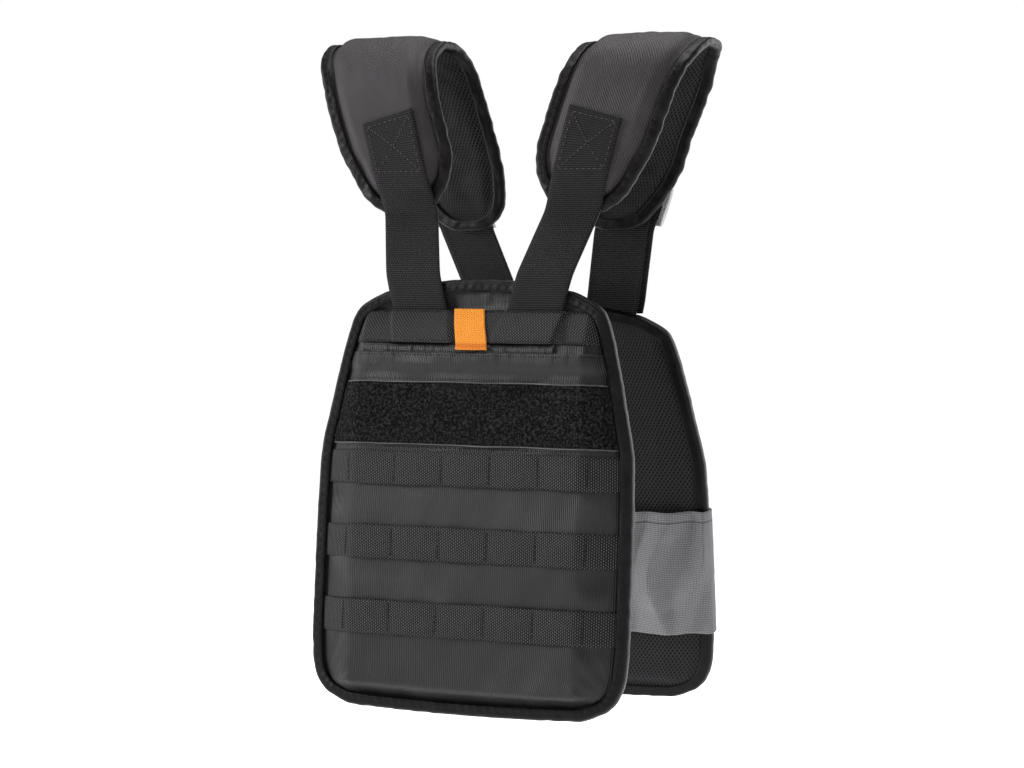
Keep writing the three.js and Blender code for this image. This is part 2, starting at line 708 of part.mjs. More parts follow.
// A closed band round a leaning piece: each row is a loop of places, and the wall is laid outside them
function sleeve(rows, wall) {
  const outside = rows.map((row) => row.map((place, i) => {
    const before = place.clone().sub(row[(i + row.length - 1) % row.length]);
    const after = row[(i + 1) % row.length].clone().sub(place);
    const sides = [before, after].map((run) => new THREE.Vector3(-run.y, run.x, 0).normalize());
    const mitre = sides[0].clone().add(sides[1]).divideScalar(1 + sides[0].dot(sides[1]));
    return place.clone().addScaledVector(mitre, wall);
  }));
  return quilt(outside, rows, true);
}

// Waist band: inside against the mesh, outside against the cloth, with slack and folds
const waistRows = rowsBetween(waistDrop, waistDrop + waistWidth);

function foldAt(drop, across) {
  const share = (drop - waistDrop) / waistWidth;
  const place = across / halfWidthAt(drop);
  const heights = waistFolds.map((fold) => {
    const away = Math.abs(place - THREE.MathUtils.lerp(fold.top, fold.bottom, share)) / fold.spread;
    return fold.height * foldHeight * Math.max(0, 1 - away);
  });
  return Math.max(...heights);
}

const waistLoops = waistRows.map((drop) => {
  const edge = halfWidthAt(drop);
  const side = edge + edgeProud + waistSideSlack;
  const inner = gap / 2 + meshPadEdge + 2 * gap + tapeWall + waistSlack;
  const outer = panelTapeTop + waistSlack;
  const loop = [];
  const columns = columnsAt(drop).slice(1, -1);
  columns.forEach((across) => {
    const overCloth = clothFace(drop, across) + gap + waistSlack;
    loop.push([across, Math.max(overCloth, outer)]);
  });
  loop.push([edge, outer], [side, outer - waistSlack], [side, -inner + waistSlack], [edge, -inner]);
  for (let i = 1; i < waistSpans; i++) {
    const across = THREE.MathUtils.lerp(edge, -edge, i / waistSpans);
    const rest = Math.min(-inner, -meshDepth(drop, across) - waistSlack);
    loop.push([across, rest - foldAt(drop, across)]);
  }
  loop.push([-edge, -inner], [-side, -inner + waistSlack], [-side, outer - waistSlack], [-edge, outer]);
  return loop.map(([across, out]) => panelPoint(1, across, drop, out));
});

addPiece(backPanel, 'waist_band', sleeve(waistLoops, waistWall), elastic);

export default vest;
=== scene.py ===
import math

import bmesh
import bpy
from mathutils import Matrix, Vector, noise
from mathutils.geometry import area_tri


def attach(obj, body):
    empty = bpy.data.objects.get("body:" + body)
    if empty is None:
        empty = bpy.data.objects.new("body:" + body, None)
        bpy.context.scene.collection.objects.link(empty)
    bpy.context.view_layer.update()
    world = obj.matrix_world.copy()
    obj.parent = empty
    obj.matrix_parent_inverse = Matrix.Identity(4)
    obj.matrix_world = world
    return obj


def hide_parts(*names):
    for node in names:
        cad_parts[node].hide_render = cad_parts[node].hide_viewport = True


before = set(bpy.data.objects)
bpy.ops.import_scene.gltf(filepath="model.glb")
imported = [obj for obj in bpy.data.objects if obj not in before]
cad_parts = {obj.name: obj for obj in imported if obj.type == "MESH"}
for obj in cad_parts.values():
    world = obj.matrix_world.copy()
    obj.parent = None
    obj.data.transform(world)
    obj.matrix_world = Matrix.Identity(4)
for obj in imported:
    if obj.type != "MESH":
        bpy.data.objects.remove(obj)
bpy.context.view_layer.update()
mm = 0.001
tau = 2 * math.pi

# Shared sizes in millimetres, the same as the solid model's
cloth = {"gap": 0.35, "wall": 1.6, "tapeWall": 1.2, "tapeReach": 7.5, "seat": 1.775}
panel = {
    "width": 253, "height": 323, "topBow": 26, "bottomBow": 4, "bottomReach": 30,
    "plateHalf": 87.7, "relief": 14.15, "meshThick": 10, "meshEdge": 3.4,
    "mouthDrop": 54, "mouthOverlap": 11,
    "down": [0, 0.025, 0.055, 0.113, 0.19, 0.288, 0.42, 0.64, 0.81, 0.888, 0.942, 0.975, 1],
    "half": [0.615, 0.72, 0.766, 0.826, 0.877, 0.93, 0.99, 1, 1, 0.99, 0.955, 0.89, 0.75],
    "liftDown": [0, 0.025, 0.055, 0.113, 0.19, 0.942, 0.975, 1],
    "lift": [0, 0, 0, 0.55, 1, 1, 0, 0],
}
edgeProud = cloth["gap"] + cloth["tapeWall"]
coreHalf = panel["width"] / 2 - edgeProud
coreHeight = panel["height"] - 2 * edgeProud
sides = {
    "front": {"facing": -1, "place": (0, -75, -176.95), "lean": -4},
    "back": {"facing": 1, "place": (0, 69, -192.95), "lean": 9.4},
}


# A curve through a table's rows that never swings past them
def smoothTable(knots, values):
    secants = [(values[i + 1] - values[i]) / (knots[i + 1] - knots[i]) for i in range(len(knots) - 1)]
    slopes = [secants[0]]
    for before, after in zip(secants, secants[1:]):
        slopes.append(0 if before * after <= 0 else 2 * before * after / (before + after))
    slopes.append(secants[-1])

    def read(place):
        if place <= knots[0]:
            return values[0]
        if place >= knots[-1]:
            return values[-1]
        i = next(n for n in range(len(knots) - 1) if place <= knots[n + 1])
        run = knots[i + 1] - knots[i]
        t = (place - knots[i]) / run
        start = (1 + 2 * t) * (1 - t) ** 2 * values[i] + t * (1 - t) ** 2 * run * slopes[i]
        return start + t * t * (3 - 2 * t) * values[i + 1] + t * t * (t - 1) * run * slopes[i + 1]
    return read


def clamp(x, low=0.0, high=1.0):
    return max(low, min(high, x))


def ease(x):
    x = clamp(x)
    return x * x * (3 - 2 * x)


def mix(a, b, share):
    return a + (b - a) * share


def ripple(x, y, seed, size=1.0):
    return noise.noise(Vector((x / size, y / size, seed)))


halfShare = smoothTable(panel["down"], panel["half"])
liftShare = smoothTable(panel["liftDown"], panel["lift"])


def halfWidth(drop):
    return coreHalf * halfShare(clamp(drop / coreHeight))


def seamWidth(drop):
    slope = (halfWidth(drop + 1) - halfWidth(drop - 1)) / 2
    return halfWidth(drop) - (cloth["tapeReach"] + 0.7) * math.hypot(1, slope)


# Height of the outer cloth over the layer where cloth and spacer mesh meet
def faceHeight(drop, across):
    seam = seamWidth(drop)
    crease = min(panel["plateHalf"], seam - 4)
    t = clamp((seam - abs(across)) / (seam - crease))
    lift = liftShare(clamp(drop / coreHeight)) * (1 - (1 - t) ** 1.5)
    return cloth["seat"] + panel["relief"] * lift


# How far the spacer mesh reaches behind the middle layer, and how full it is there
def meshDepth(drop, across):
    puff = (faceHeight(drop, across) - cloth["seat"]) / panel["relief"]
    return cloth["gap"] / 2 + mix(panel["meshEdge"], panel["meshThick"], puff), puff


def panelSpace(side):
    facts = sides[side]
    return Matrix.Translation(facts["place"]) @ Matrix.Rotation(math.radians(facts["lean"]), 4, "X")


spaces = {side: panelSpace(side) for side in sides}
outOf = {side: spaces[side].to_3x3() @ Vector((0, sides[side]["facing"], 0)) for side in sides}


def onPanel(side, across, drop, out):
    bottom = max(0, 1 - (coreHeight - drop) / panel["bottomReach"])
    bow = panel["topBow"] * max(0, 1 - drop / 22) - panel["bottomBow"] * bottom
    down = edgeProud + drop + bow * (across / coreHalf) ** 2
    return spaces[side] @ Vector((across, sides[side]["facing"] * out, -down))


def panelOutward(side):
    return lambda centre: outOf[side]


# One piece of cloth: a grid whose places come from a function of its two shares, then its wall
def makeSheet(name, columns, rows, place, uvSize, outward, wall=0.0, loop=False, offset=-1):
    bm = bmesh.new()
    bmesh.ops.create_grid(bm, x_segments=columns, y_segments=rows, size=0.5)
    uvMap = bm.loops.layers.uv.new("UVMap")
    shares = {v: (clamp(v.co.x + 0.5), clamp(v.co.y + 0.5)) for v in bm.verts}
    for face in bm.faces:
        for corner in face.loops:
            u, v = shares[corner.vert]
            corner[uvMap].uv = (u * uvSize[0] * mm, v * uvSize[1] * mm)
    for v, (s, t) in shares.items():
        v.co = place(s, t) * mm
    if loop:
        bmesh.ops.remove_doubles(bm, verts=bm.verts, dist=1e-6)
    bm.normal_update()
    lean = sum(f.normal.dot(outward(f.calc_center_median() / mm)) * f.calc_area() for f in bm.faces)
    if lean < 0:
        bmesh.ops.reverse_faces(bm, faces=bm.faces)
    area = sum(f.calc_area() for f in bm.faces)
    return finishMesh(name, bm, wall, offset), area


def finishMesh(name, bm, wall=0.0, offset=-1):
    data = bpy.data.meshes.new(name)
    bm.to_mesh(data)
    bm.free()
    data.shade_smooth()
    piece = bpy.data.objects.new(name, data)
    bpy.context.collection.objects.link(piece)
    if wall:
        solid = piece.modifiers.new("wall", "SOLIDIFY")
        solid.thickness = wall * mm
        solid.offset = offset
        solid.use_even_offset = True
        solid.thickness_clamp = 1
    return piece


def dress(piece, finish, slot, *nodes):
    piece.data.materials.clear()
    piece.data.materials.append(finish)
    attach(piece, "root")
    if nodes:
        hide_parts(*nodes)
    return piece


# Materials
class Wire:
    def __init__(self, tree, socket=None):
        self.tree = tree
        self.socket = socket

    def add(self, kind, settings=None, sockets=None, out=0):
        made = self.tree.nodes.new(kind)
        for key, value in (settings or {}).items():
            setattr(made, key, value)
        for key, value in (sockets or {}).items():
            if isinstance(value, Wire):
                self.tree.links.new(value.socket, made.inputs[key])
            else:
                made.inputs[key].default_value = value
        return Wire(self.tree, made.outputs[out])

    def maths(self, operation, other=0.0, swapped=False):
        pair = (other, self) if swapped else (self, other)
        return self.add("ShaderNodeMath", {"operation": operation}, {0: pair[0], 1: pair[1]})

    def __add__(self, other):
        return self.maths("ADD", other)

    def __radd__(self, other):
        return self.maths("ADD", other, True)

    def __sub__(self, other):
        return self.maths("SUBTRACT", other)

    def __rsub__(self, other):
        return self.maths("SUBTRACT", other, True)

    def __mul__(self, other):
        return self.maths("MULTIPLY", other)

    def __rmul__(self, other):
        return self.maths("MULTIPLY", other, True)

    def wave(self, pitch, shift=0.0):
        turned = self * (tau / pitch) + shift
        return turned.maths("SINE") * 0.5 + 0.5

    def between(self, low, high):
        settings = {"interpolation_type": "SMOOTHSTEP"}
        return self.add("ShaderNodeMapRange", settings, {0: self, 1: low, 2: high, 3: 0.0, 4: 1.0})


def tone(code):
    parts = [int(code[i:i + 2], 16) / 255 for i in (0, 2, 4)]
    return (*[p / 12.92 if p < 0.04045 else ((p + 0.055) / 1.055) ** 2.4 for p in parts], 1)


# A finish from a pattern: the pattern gives the share of the second colour, and a height in millimetres
def makeFinish(name, look, pattern):
    made = bpy.data.materials.new(name)
    made.use_nodes = True
    tree = made.node_tree
    shader = tree.nodes["Principled BSDF"]
    start = Wire(tree)
    place = start.add("ShaderNodeTexCoord", out=3)
    source = start.add("ShaderNodeUVMap", {"uv_map": "UVMap"}) if look.get("uv", True) else place
    u = start.add("ShaderNodeSeparateXYZ", None, {0: source})
    v = Wire(tree, u.socket.node.outputs[1])
    blotch = start.add("ShaderNodeTexNoise", None,
                       {"Vector": place, "Scale": look["wearScale"], "Detail": 4.0})
    speck = start.add("ShaderNodeTexNoise", None, {"Vector": place, "Scale": 900.0, "Detail": 2.0})
    share, height = pattern(start, u, v, place, speck)
    base = start.add("ShaderNodeMix", {"data_type": "RGBA"},
                     {0: share, 6: tone(look["dark"]), 7: tone(look["light"])}, out=2)
    worn = (blotch.between(0.5, 0.8) * look["wear"]) + speck * look.get("grain", 0.06)
    base = start.add("ShaderNodeMix", {"data_type": "RGBA"}, {0: worn, 6: base, 7: tone(look["worn"])}, out=2)
    tree.links.new(base.socket, shader.inputs["Base Color"])
    rough = (blotch - 0.5) * 0.25 + look["rough"] - share * look.get("gloss", 0.08)
    tree.links.new(rough.socket, shader.inputs["Roughness"])
    relief = {"Height": height + speck * 0.12, "Distance": mm * look["depth"], "Strength": 0.9}
    bump = start.add("ShaderNodeBump", None, relief)
    tree.links.new(bump.socket, shader.inputs["Normal"])
    shader.inputs["Sheen Weight"].default_value = look.get("sheen", 0.0)
    shader.inputs["Specular IOR Level"].default_value = look.get("specular", 0.4)
    shader.inputs["Metallic"].default_value = look.get("metal", 0.0)
    made.diffuse_color = tone(look["light"])
    return made


def ribPattern(pitch, cross):
    def pattern(start, u, v, place, speck):
        rib = u.wave(pitch * mm)
        thread = v.wave(cross * mm)
        share = rib * 0.75 + thread * rib * 0.25
        return share, rib * 0.8 + thread * 0.2
    return pattern


def twillPattern(pitch):
    def pattern(start, u, v, place, speck):
        diagonal = (u + v * 0.8).wave(pitch * mm)
        thread = (u - v).wave(pitch * 0.45 * mm)
        return diagonal * 0.7 + thread * 0.3, diagonal * 0.7 + thread * 0.3
    return pattern


# Spacer mesh: the threads take the light colour and the diamond holes between them take the dark one, painted
# shade for the depth of the holes
def meshPattern(pitch):
    def pattern(start, u, v, place, speck):
        one = (u + v * 0.7).wave(pitch * mm)
        two = (u - v * 0.7).wave(pitch * mm)
        net = (one.maths("MAXIMUM", two)).between(0.55, 0.85)
        knit = (u.wave(0.9 * mm) + v.wave(0.7 * mm)) * 0.5
        return net * (knit * 0.4 + 0.6), net * 0.85 + knit * 0.15
    return pattern


# Webbing: picks run across its width, and every other warp thread lies on top; where a raised warp thread
# crosses a pick's crest, and along the pick crests, the colour is lighter, a painted glint on the black
# threads
def webPattern(rib, thread, lengthwise="v", rows=0.1):
    def pattern(start, u, v, place, speck):
        along, across = (v, u) if lengthwise == "v" else (u, v)
        row = along.wave(rib * mm)
        column = across.wave(thread * mm)
        flip = (along.wave(2 * rib * mm) - 0.5).between(-0.1, 0.1)
        top = column * flip + (1 - column) * (1 - flip)
        # painted glint: lighter colour where a raised warp thread crosses a pick's crest
        paintedGlint = (top * row).between(0.25, 0.8)
        share = (paintedGlint * (1 - rows) + row * rows) * (speck * 0.8 + 0.5)
        return share, row * 0.6 + top * 0.4
    return pattern


# Tape along a rim: u runs along it and v across its folded width; a row of stitches near one edge
def tapePattern(start, u, v, place, speck):
    fine = u.wave(0.75 * mm)
    dash = u.wave(3.4 * mm).between(0.3, 0.5)
    inset = (v - 0.0022).maths("ABSOLUTE")
    stitch = (1 - inset.between(0.0003, 0.0006)) * dash
    pucker = u.wave(6.8 * mm) * (1 - inset.between(0.0005, 0.003))
    return fine * 0.35 + stitch * 0.65, fine * 0.2 + stitch * 0.6 + pucker * 0.7


def pilePattern(start, u, v, place, speck):
    grain = {"Vector": place, "Scale": 520.0, "Detail": 4.0, "Roughness": 0.75}
    tuft = start.add("ShaderNodeTexNoise", None, grain)
    row = v.wave(1.6 * mm) * u.wave(1.3 * mm)
    return tuft.between(0.42, 0.7) * 0.85 + row * 0.15, tuft * 1.6 + row * 0.2


def zigzagPattern(start, u, v, place, speck):
    fold = (u.maths("PINGPONG", 0.0014) * 0.8 + v).wave(1.7 * mm)
    rib = u.wave(1.4 * mm)
    hem = (v - 0.0275).maths("ABSOLUTE").between(0.0006, 0.003)
    return fold * 0.45 + rib * 0.15 + hem * 0.4, fold * 0.7 + rib * 0.3


def elasticPattern(start, u, v, place, speck):
    rib = v.wave(1.5 * mm)
    cord = u.wave(1.3 * mm)
    hem = 1 - (v - 0.0082).maths("ABSOLUTE").between(0.0002, 0.0007)
    return (rib * cord) * 0.8 + speck * 0.2 - hem * 0.6, rib * 0.45 + cord * 0.45 - hem * 1.2


def castPattern(start, u, v, place, speck):
    pit = start.add("ShaderNodeTexNoise", None, {"Vector": place, "Scale": 420.0, "Detail": 5.0})
    return pit.between(0.35, 0.7), pit


def threadPattern(start, u, v, place, speck):
    twist = place.add("ShaderNodeTexNoise", None, {"Vector": place, "Scale": 2500.0, "Detail": 1.0})
    return twist, twist


finishes = {
    "ribbedCloth": makeFinish("ribbed_cloth", {
        "dark": "020202", "light": "1b191b", "worn": "454345", "wear": 0.2, "wearScale": 26.0, "grain": 0.16,
        "rough": 0.4, "depth": 0.3, "sheen": 0.01, "specular": 0.22}, ribPattern(1.5, 0.9)),
    "padTwill": makeFinish("pad_twill", {
        "dark": "060506", "light": "343033", "worn": "4c484b", "wear": 0.14, "wearScale": 30.0, "grain": 0.08,
        "rough": 0.5, "depth": 0.26, "sheen": 0.02, "specular": 0.2}, twillPattern(2.0)),
    "spacerMesh": makeFinish("spacer_mesh", {
        "dark": "000000", "light": "2c2c2e", "worn": "3a393a", "wear": 0.04, "wearScale": 35.0,
        "rough": 0.5, "depth": 0.9, "specular": 0.08}, meshPattern(3.3)),
    "edgeTape": makeFinish("edge_tape", {
        "dark": "010101", "light": "0c0c0c", "worn": "2b2a2c", "wear": 0.08, "wearScale": 60.0,
        "rough": 0.4, "depth": 0.35, "specular": 0.13}, tapePattern),
    "webbing": makeFinish("webbing", {
        "dark": "000000", "light": "2d2c2d", "worn": "3f3e40", "wear": 0.02, "wearScale": 45.0,
        "rough": 0.5, "depth": 0.6, "specular": 0.09}, webPattern(1.6, 2.1, "v", 0.5)),
    "webbingAcross": makeFinish("webbing_across", {
        "dark": "000000", "light": "545254", "worn": "3f3e40", "wear": 0.02, "wearScale": 45.0,
        "rough": 0.5, "depth": 0.55, "specular": 0.12}, webPattern(1.6, 2.1, "u")),
    "loopPile": makeFinish("loop_pile", {
        "dark": "010101", "light": "303030", "worn": "222122", "wear": 0.1, "wearScale": 30.0,
        "rough": 0.95, "depth": 0.9, "sheen": 0.0, "specular": 0.05}, pilePattern),
    # Selvage: its pale dark, light and worn colours and bright blotches are a painted highlight on the glossy
    # folded edge
    "selvage": makeFinish("selvage_painted_highlight", {
        "dark": "2a292a", "light": "5b5a5b", "worn": "908f90", "wear": 0.5, "wearScale": 14.0,
        "rough": 0.45, "depth": 0.2, "specular": 0.3}, ribPattern(1.5, 0.6)),
    "orangeWebbing": makeFinish("orange_webbing", {
        "dark": "a84604", "light": "e29432", "worn": "ffb058", "wear": 0.05, "wearScale": 60.0,
        "rough": 0.65, "depth": 0.8, "gloss": 0.05, "grain": 0.03, "specular": 0.15}, zigzagPattern),
    "greyElastic": makeFinish("grey_elastic", {
        "dark": "3c3c3e", "light": "949496", "worn": "a4a4a4", "wear": 0.15, "wearScale": 26.0,
        "rough": 0.75, "depth": 0.35, "sheen": 0.02, "specular": 0.2}, elasticPattern),
    "paleTape": makeFinish("pale_tape", {
        "dark": "8a8a8c", "light": "bcbbba", "worn": "cfcecc", "wear": 0.2, "wearScale": 50.0,
        "rough": 0.55, "depth": 0.3, "specular": 0.3}, webPattern(1.0, 1.8)),
    "castIron": makeFinish("cast_iron_paint", {
        "uv": False, "dark": "1b1b1c", "light": "343436", "worn": "55504c", "wear": 0.35, "wearScale": 40.0,
        "rough": 0.55, "depth": 0.5, "metal": 0.35}, castPattern),
    "thread": makeFinish("sewing_thread", {
        "uv": False, "dark": "010101", "light": "1a191a", "worn": "3a383a", "wear": 0.15, "wearScale": 90.0,
        "rough": 0.5, "depth": 0.12, "specular": 0.15}, threadPattern),
    "paleThread": makeFinish("worn_thread", {
        "uv": False, "dark": "181718", "light": "444344", "worn": "5a595a", "wear": 0.3, "wearScale": 90.0,
        "rough": 0.5, "depth": 0.12, "specular": 0.2}, threadPattern),
}
print("finishes made")

# The weight plates keep their solids, hidden in the pockets
for nodeName in ("front_weight_plate", "back_weight_plate"):
    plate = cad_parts[nodeName]
    plate.data.materials.clear()
    plate.data.materials.append(finishes["castIron"])

# Panels: yoke and pocket cloth, and the spacer mesh behind
panelLook = {"columns": 118, "yokeRows": 34, "pocketRows": 128, "clothWall": 1.3,
             "meshColumns": 90, "meshRows": 116, "meshWall": 2.6, "meshFill": 0.5}


# Folds of the yoke: gathers that fade towards the tape, pulled by the top band
def yokeFold(side, across, drop):
    seed = 3.1 if side == "front" else 9.4
    gather = ripple(across, drop * 0.35, seed, 13) * 2.6 + ripple(across, drop, seed + 2, 30) * 2.4
    held = ease(abs(drop - 34) / 13 - 0.6) * ease(drop / 9) * ease((seamWidth(drop) - abs(across)) / 10)
    return gather * held


def pocketFold(side, across, drop):
    seed = 14.2 if side == "front" else 22.7
    edge = ease((seamWidth(drop) - abs(across)) / 9)
    bottom = ease((coreHeight - drop) / 12)
    mouth = math.exp(-((drop - panel["mouthDrop"]) / 10) ** 2)
    fold = ripple(across, drop, seed, 46) * 1.1 + ripple(across, drop * 0.4, seed + 5, 19) * 0.6
    fold += (ripple(across + drop * 0.5, drop * 0.3, seed + 6, 24) * 1.1) * (1 - mouth)
    gather = mouth * (0.8 + ripple(across, 0, seed + 1, 5.5) * 1.5)
    strip = math.exp(-((drop - 66) / 6.5) ** 4)
    wide, fine = ripple(across, drop * 0.2, seed + 8, 17), ripple(across, drop * 0.3, seed + 9, 8)
    gather += strip * (wide * 2.2 + fine * 0.7)
    corner = ease((abs(across) - 70) / 30) * ease((drop - 230) / 60)
    turn = math.atan2(coreHeight - drop, coreHalf - abs(across))
    radial = corner * ripple(turn * 60, abs(across) * 0.2, seed, 9) * 1.7
    slope = ease((abs(across) - 84) / 12)
    pull = slope * ripple(across * 0.35, drop, seed + 3, 17) * 1.5
    return (fold + radial + pull) * edge * bottom + gather * edge


# The cut of a cloth: its width and length in metres and its area, as it runs over the plate before any fold
def flatCut(top, bottom):
    steps = 90
    rows = []
    for i in range(steps + 1):
        drop = mix(top, bottom, i / steps)
        places = [mix(-1, 1, k / steps) * halfWidth(drop) for k in range(steps + 1)]
        rows.append([onPanel("front", x, drop, faceHeight(drop, x)) for x in places])

    def run(places):
        return sum((b - a).length for a, b in zip(places, places[1:]))

    area = 0.0
    for upper, lower in zip(rows, rows[1:]):
        for a, b, c, d in zip(upper, upper[1:], lower, lower[1:]):
            area += area_tri(a, b, c) + area_tri(b, d, c)
    width = max(run(row) for row in rows)
    length = run([row[steps // 2] for row in rows])
    return (width * mm, length * mm), area * mm * mm


for side in sides:
    yokeEnd = panel["mouthDrop"] + panel["mouthOverlap"]
    mouth = panel["mouthDrop"]

    def yokePlace(s, t, side=side, yokeEnd=yokeEnd):
        drop = t * yokeEnd
        across = (2 * s - 1) * halfWidth(drop)
        return onPanel(side, across, drop, faceHeight(drop, across) + yokeFold(side, across, drop))

    def pocketPlace(s, t, side=side, mouth=mouth):
        drop = mouth + t * (coreHeight - mouth)
        across = (2 * s - 1) * halfWidth(drop)
        over = (cloth["wall"] + cloth["gap"]) * (1 - ease((drop - mouth - 9) / 6))
        return onPanel(side, across, drop, faceHeight(drop, across) + over + pocketFold(side, across, drop))

    out = panelOutward(side)
    yoke, yokeArea = makeSheet(
        f"{side}_yoke_cloth", panelLook["columns"], panelLook["yokeRows"], yokePlace,
        (2 * coreHalf, yokeEnd), out, panelLook["clothWall"])
    dress(yoke, finishes["ribbedCloth"], "ribbed_cloth", f"{side}_yoke")
    pocket, pocketArea = makeSheet(
        f"{side}_pocket_cloth", panelLook["columns"], panelLook["pocketRows"], pocketPlace,
        (2 * coreHalf, coreHeight - mouth), out, panelLook["clothWall"])
    dress(pocket, finishes["ribbedCloth"], "ribbed_cloth", f"{side}_pocket")
    for piece, area, top, bottom in ((yoke, yokeArea, 0, yokeEnd), (pocket, pocketArea, mouth, coreHeight)):
        flat, cutArea = flatCut(top, bottom)
        print(piece.name, [round(x, 4) for x in flat], "cut", round(cutArea, 5), "folded", round(area, 5))

    # Spacer mesh on the wearer's side, padded between its edges
    def meshPlace(s, t, side=side):
        drop = t * coreHeight
        across = (2 * s - 1) * halfWidth(drop)
        depth, puff = meshDepth(drop, across)
        depth += (ripple(across, drop, 31, 30) * 0.9 + ripple(across, drop, 37, 12) * 0.3) * puff
        return onPanel(side, across, drop, -depth)

    meshPiece, _ = makeSheet(
        f"{side}_spacer_mesh", panelLook["meshColumns"], panelLook["meshRows"], meshPlace,
        (2 * coreHalf, coreHeight), lambda centre, side=side: -outOf[side], panelLook["meshWall"])
    dress(meshPiece, finishes["spacerMesh"], "spacer_mesh", f"{side}_mesh_pad")
print("panels made")

# Edge tape round a panel or a pad: a folded profile laid along a rim of places, each with its normal
tapeLook = {"steps": 460, "softened": 3, "rounding": 2.6, "scallop": 0.45, "ripple": 0.22, "wander": 0.45,
            "wall": 1.0}


def tapeProfile(top, bottom):
    reach, rounding = cloth["tapeReach"], tapeLook["rounding"]
    half, middle = (top - bottom) / 2, (top + bottom) / 2
    flat = [(-reach + i * (reach + edgeProud - rounding) / 5, top) for i in range(5)]
    bend = [(edgeProud - rounding + rounding * math.cos(a), middle + half * math.sin(a))
            for a in [math.pi / 2 - math.pi * i / 10 for i in range(11)]]
    return flat + bend + [(x, bottom) for x, _ in reversed(flat)]


# Even steps along a closed run of (place, normal)
def evenRim(rim, steps):
    total = [0.0]
    for i in range(len(rim)):
        total.append(total[-1] + (rim[(i + 1) % len(rim)][0] - rim[i][0]).length)
    evened, i = [], 0
    for k in range(steps):
        at = total[-1] * k / steps
        while total[i + 1] < at:
            i += 1
        t = (at - total[i]) / max(total[i + 1] - total[i], 1e-6)
        a, b = rim[i], rim[(i + 1) % len(rim)]
        evened.append((a[0].lerp(b[0], t), a[1].lerp(b[1], t).normalized()))
    return evened, total[-1]


def edgeTape(name, rim, top, bottom, node, seed, scallop=1.0):
    steps = tapeLook["steps"]
    places, length = evenRim(rim, steps)
    for _ in range(tapeLook["softened"]):
        places = [((places[i - 1][0] + places[i][0] * 2 + places[(i + 1) % steps][0]) / 4, places[i][1])
                  for i in range(steps)]
    middle = sum((p for p, _ in places), Vector()) / steps
    profile = tapeProfile(top, bottom)
    outs = []
    for i, (point, normal) in enumerate(places):
        run = places[(i + 1) % steps][0] - places[i - 1][0]
        out = run.cross(normal).normalized()
        outs.append(-out if out.dot(point - middle) < 0 else out)
    for i in range(1, steps):
        if outs[i].dot(outs[i - 1]) < 0:
            outs[i] = -outs[i]

    def place(s, t):
        i = round(s * steps) % steps
        point, normal = places[i]
        x, y = profile[round(t * (len(profile) - 1))]
        along = s * length if i else 0
        bead = ripple(along, 0, seed, 7.5) * tapeLook["scallop"] * scallop * clamp((x + 5) / 5)
        lift = ripple(along, x, seed + 4, 6) * tapeLook["ripple"] * scallop * (1 if y > 0 else -1)
        lift += ripple(along, 0, seed + 9, 14) * tapeLook["wander"] * scallop
        fade = ease((x + cloth["tapeReach"]) / 2.5)
        return point + outs[i] * (x + bead) + normal * (y + lift * fade)

    def outward(centre):
        return centre - nearest(places, centre)

    width = 2 * (cloth["tapeReach"] + edgeProud) + (top - bottom) * 0.6
    tape, _ = makeSheet(
        name, steps, len(profile) - 1, place, (length, width), outward, tapeLook["wall"], loop=True)
    dress(tape, finishes["edgeTape"], "edge_tape", node)


def nearest(places, centre):
    return min((p for p, _ in places[::6]), key=lambda p: (p - centre).length_squared)


def panelRim(side):
    count = 90
    drops = [coreHeight * i / count for i in range(count + 1)]
    left = [(-halfWidth(d), d) for d in drops]
    bottomHalf = halfWidth(coreHeight)
    bottom = [(mix(-bottomHalf, bottomHalf, i / 40), coreHeight) for i in range(1, 40)]
    right = [(halfWidth(d), d) for d in reversed(drops)]
    topHalf = halfWidth(0)
    top = [(mix(topHalf, -topHalf, i / 40), 0) for i in range(1, 40)]
    return [(onPanel(side, x, d, 0), outOf[side]) for x, d in left + bottom + right + top]


panelTapeTop = cloth["seat"] + cloth["wall"] + 2 * cloth["gap"] + cloth["tapeWall"]
panelTapeBottom = -(1.5 * cloth["gap"] + panel["meshEdge"] + cloth["tapeWall"])
padTapeTop = cloth["seat"] + cloth["gap"] + cloth["tapeWall"]
for side in sides:
    edgeTape(f"{side}_edge_tape", panelRim(side), panelTapeTop, panelTapeBottom, f"{side}_binding", 51)
print("panel tapes made")

